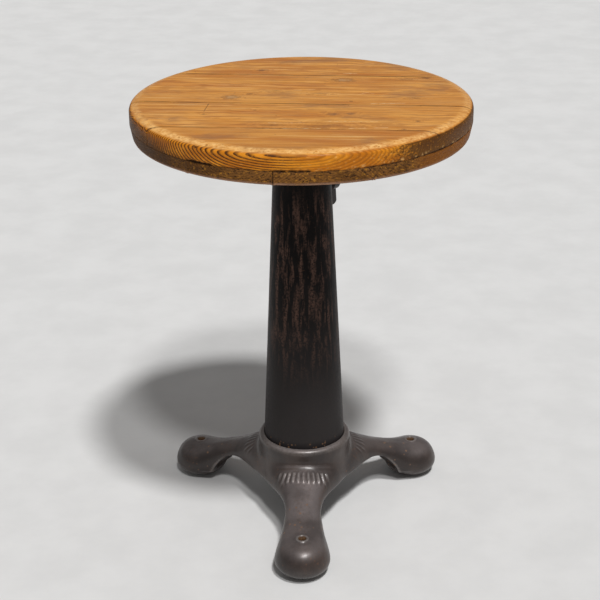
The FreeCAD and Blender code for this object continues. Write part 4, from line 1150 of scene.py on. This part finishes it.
def dress_plain_nodes():
    tall_iron = column_iron()
    wing_iron = plain_iron("wing_iron")
    steel = metal("turned_steel", (0.22, 0.21, 0.20), (0.40, 0.39, 0.38), 0.34)
    dark_steel = metal("dark_steel", (0.09, 0.08, 0.075), (0.20, 0.185, 0.17), 0.42)
    brass = metal("dull_brass", (0.38, 0.25, 0.09), (0.60, 0.44, 0.19), 0.34)
    finishes = {
        tall_iron: ("column",),
        wing_iron: ("clamp_wing_screw", "seat_flange"),
        steel: ("seat_post", "retaining_washer", "retaining_screw", "stop_ring_pin"),
        dark_steel: ("layer_screws", "flange_screws", "stop_ring", "column_bolts",
                     "bolt_washers"),
        brass: ("thrust_washer", "neck_bush", "clamp_pad"),
    }
    for material, names in finishes.items():
        for name in names:
            data = nodes[name].data
            data.materials.clear()
            data.materials.append(material)


# Floor, light and camera

FLOOR_HALF_WIDTH = 20.0
FLOOR_GREY = (0.705, 0.702, 0.695)
FLOOR_LIGHT = (0.755, 0.752, 0.745)
WORLD_COLOUR = (1.0, 0.99, 0.985, 1.0)
WORLD_STRENGTH = 0.22


def make_floor():
    half = FLOOR_HALF_WIDTH
    corners = [(-half, -half, 0), (half, -half, 0), (half, half, 0), (-half, half, 0)]
    mesh = bpy.data.meshes.new("floor")
    mesh.from_pydata(corners, [], [(0, 1, 2, 3)])
    floor = bpy.data.objects.new("floor", mesh)
    bpy.context.scene.collection.objects.link(floor)
    graph = Graph("floor_paint")
    mottle = graph.noise(graph.place, 0.012, 5.0, 0.6)
    colour = graph.mix(graph.band(mottle, 0.3, 0.7), FLOOR_GREY, FLOOR_LIGHT)
    mesh.materials.append(graph.surface(colour, 0.75, specular=0.2))


def make_sun(name, elevation, azimuth, strength, spread):
    """A distant soft lamp; azimuth counts from the front (-Y) towards the right (+X)."""
    data = bpy.data.lights.new(name, "SUN")
    data.energy = strength
    data.angle = math.radians(spread)
    lamp = bpy.data.objects.new(name, data)
    bpy.context.scene.collection.objects.link(lamp)
    up = math.radians(elevation)
    turn = math.radians(azimuth)
    toward = Vector((math.sin(turn) * math.cos(up), -math.cos(turn) * math.cos(up),
                     math.sin(up)))
    lamp.rotation_euler = toward.to_track_quat("Z", "Y").to_euler()


def make_light():
    world = bpy.data.worlds.new("studio")
    world.use_nodes = True
    background = world.node_tree.nodes["Background"]
    background.inputs["Color"].default_value = WORLD_COLOUR
    background.inputs["Strength"].default_value = WORLD_STRENGTH
    bpy.context.scene.world = world
    make_sun("key", elevation=65.0, azimuth=26.0, strength=1.85, spread=6.0)
    make_sun("second", elevation=56.0, azimuth=11.0, strength=0.85, spread=6.0)


# Camera fitted to the photograph's angle
CAMERA_PLACE = (0.03264, -1.47016, 0.90233)
CAMERA_FORWARD = (-0.0223, 0.9139, -0.4052)
CAMERA_ROLL = math.radians(0.60)
CAMERA_LENS = 89.6


def make_camera():
    data = bpy.data.cameras.new("camera")
    data.sensor_width = 36.0
    data.lens = CAMERA_LENS
    camera = bpy.data.objects.new("camera", data)
    bpy.context.scene.collection.objects.link(camera)
    camera.location = CAMERA_PLACE
    aim = Vector(CAMERA_FORWARD).to_track_quat("-Z", "Y").to_matrix().to_4x4()
    camera.rotation_euler = aim.to_euler()
    camera.rotation_euler.rotate_axis("Z", -CAMERA_ROLL)
    bpy.context.scene.camera = camera


make_seat()
make_foot()
dress_plain_nodes()
make_floor()
make_light()
make_camera()
bpy.context.scene.view_settings.view_transform = "Standard"
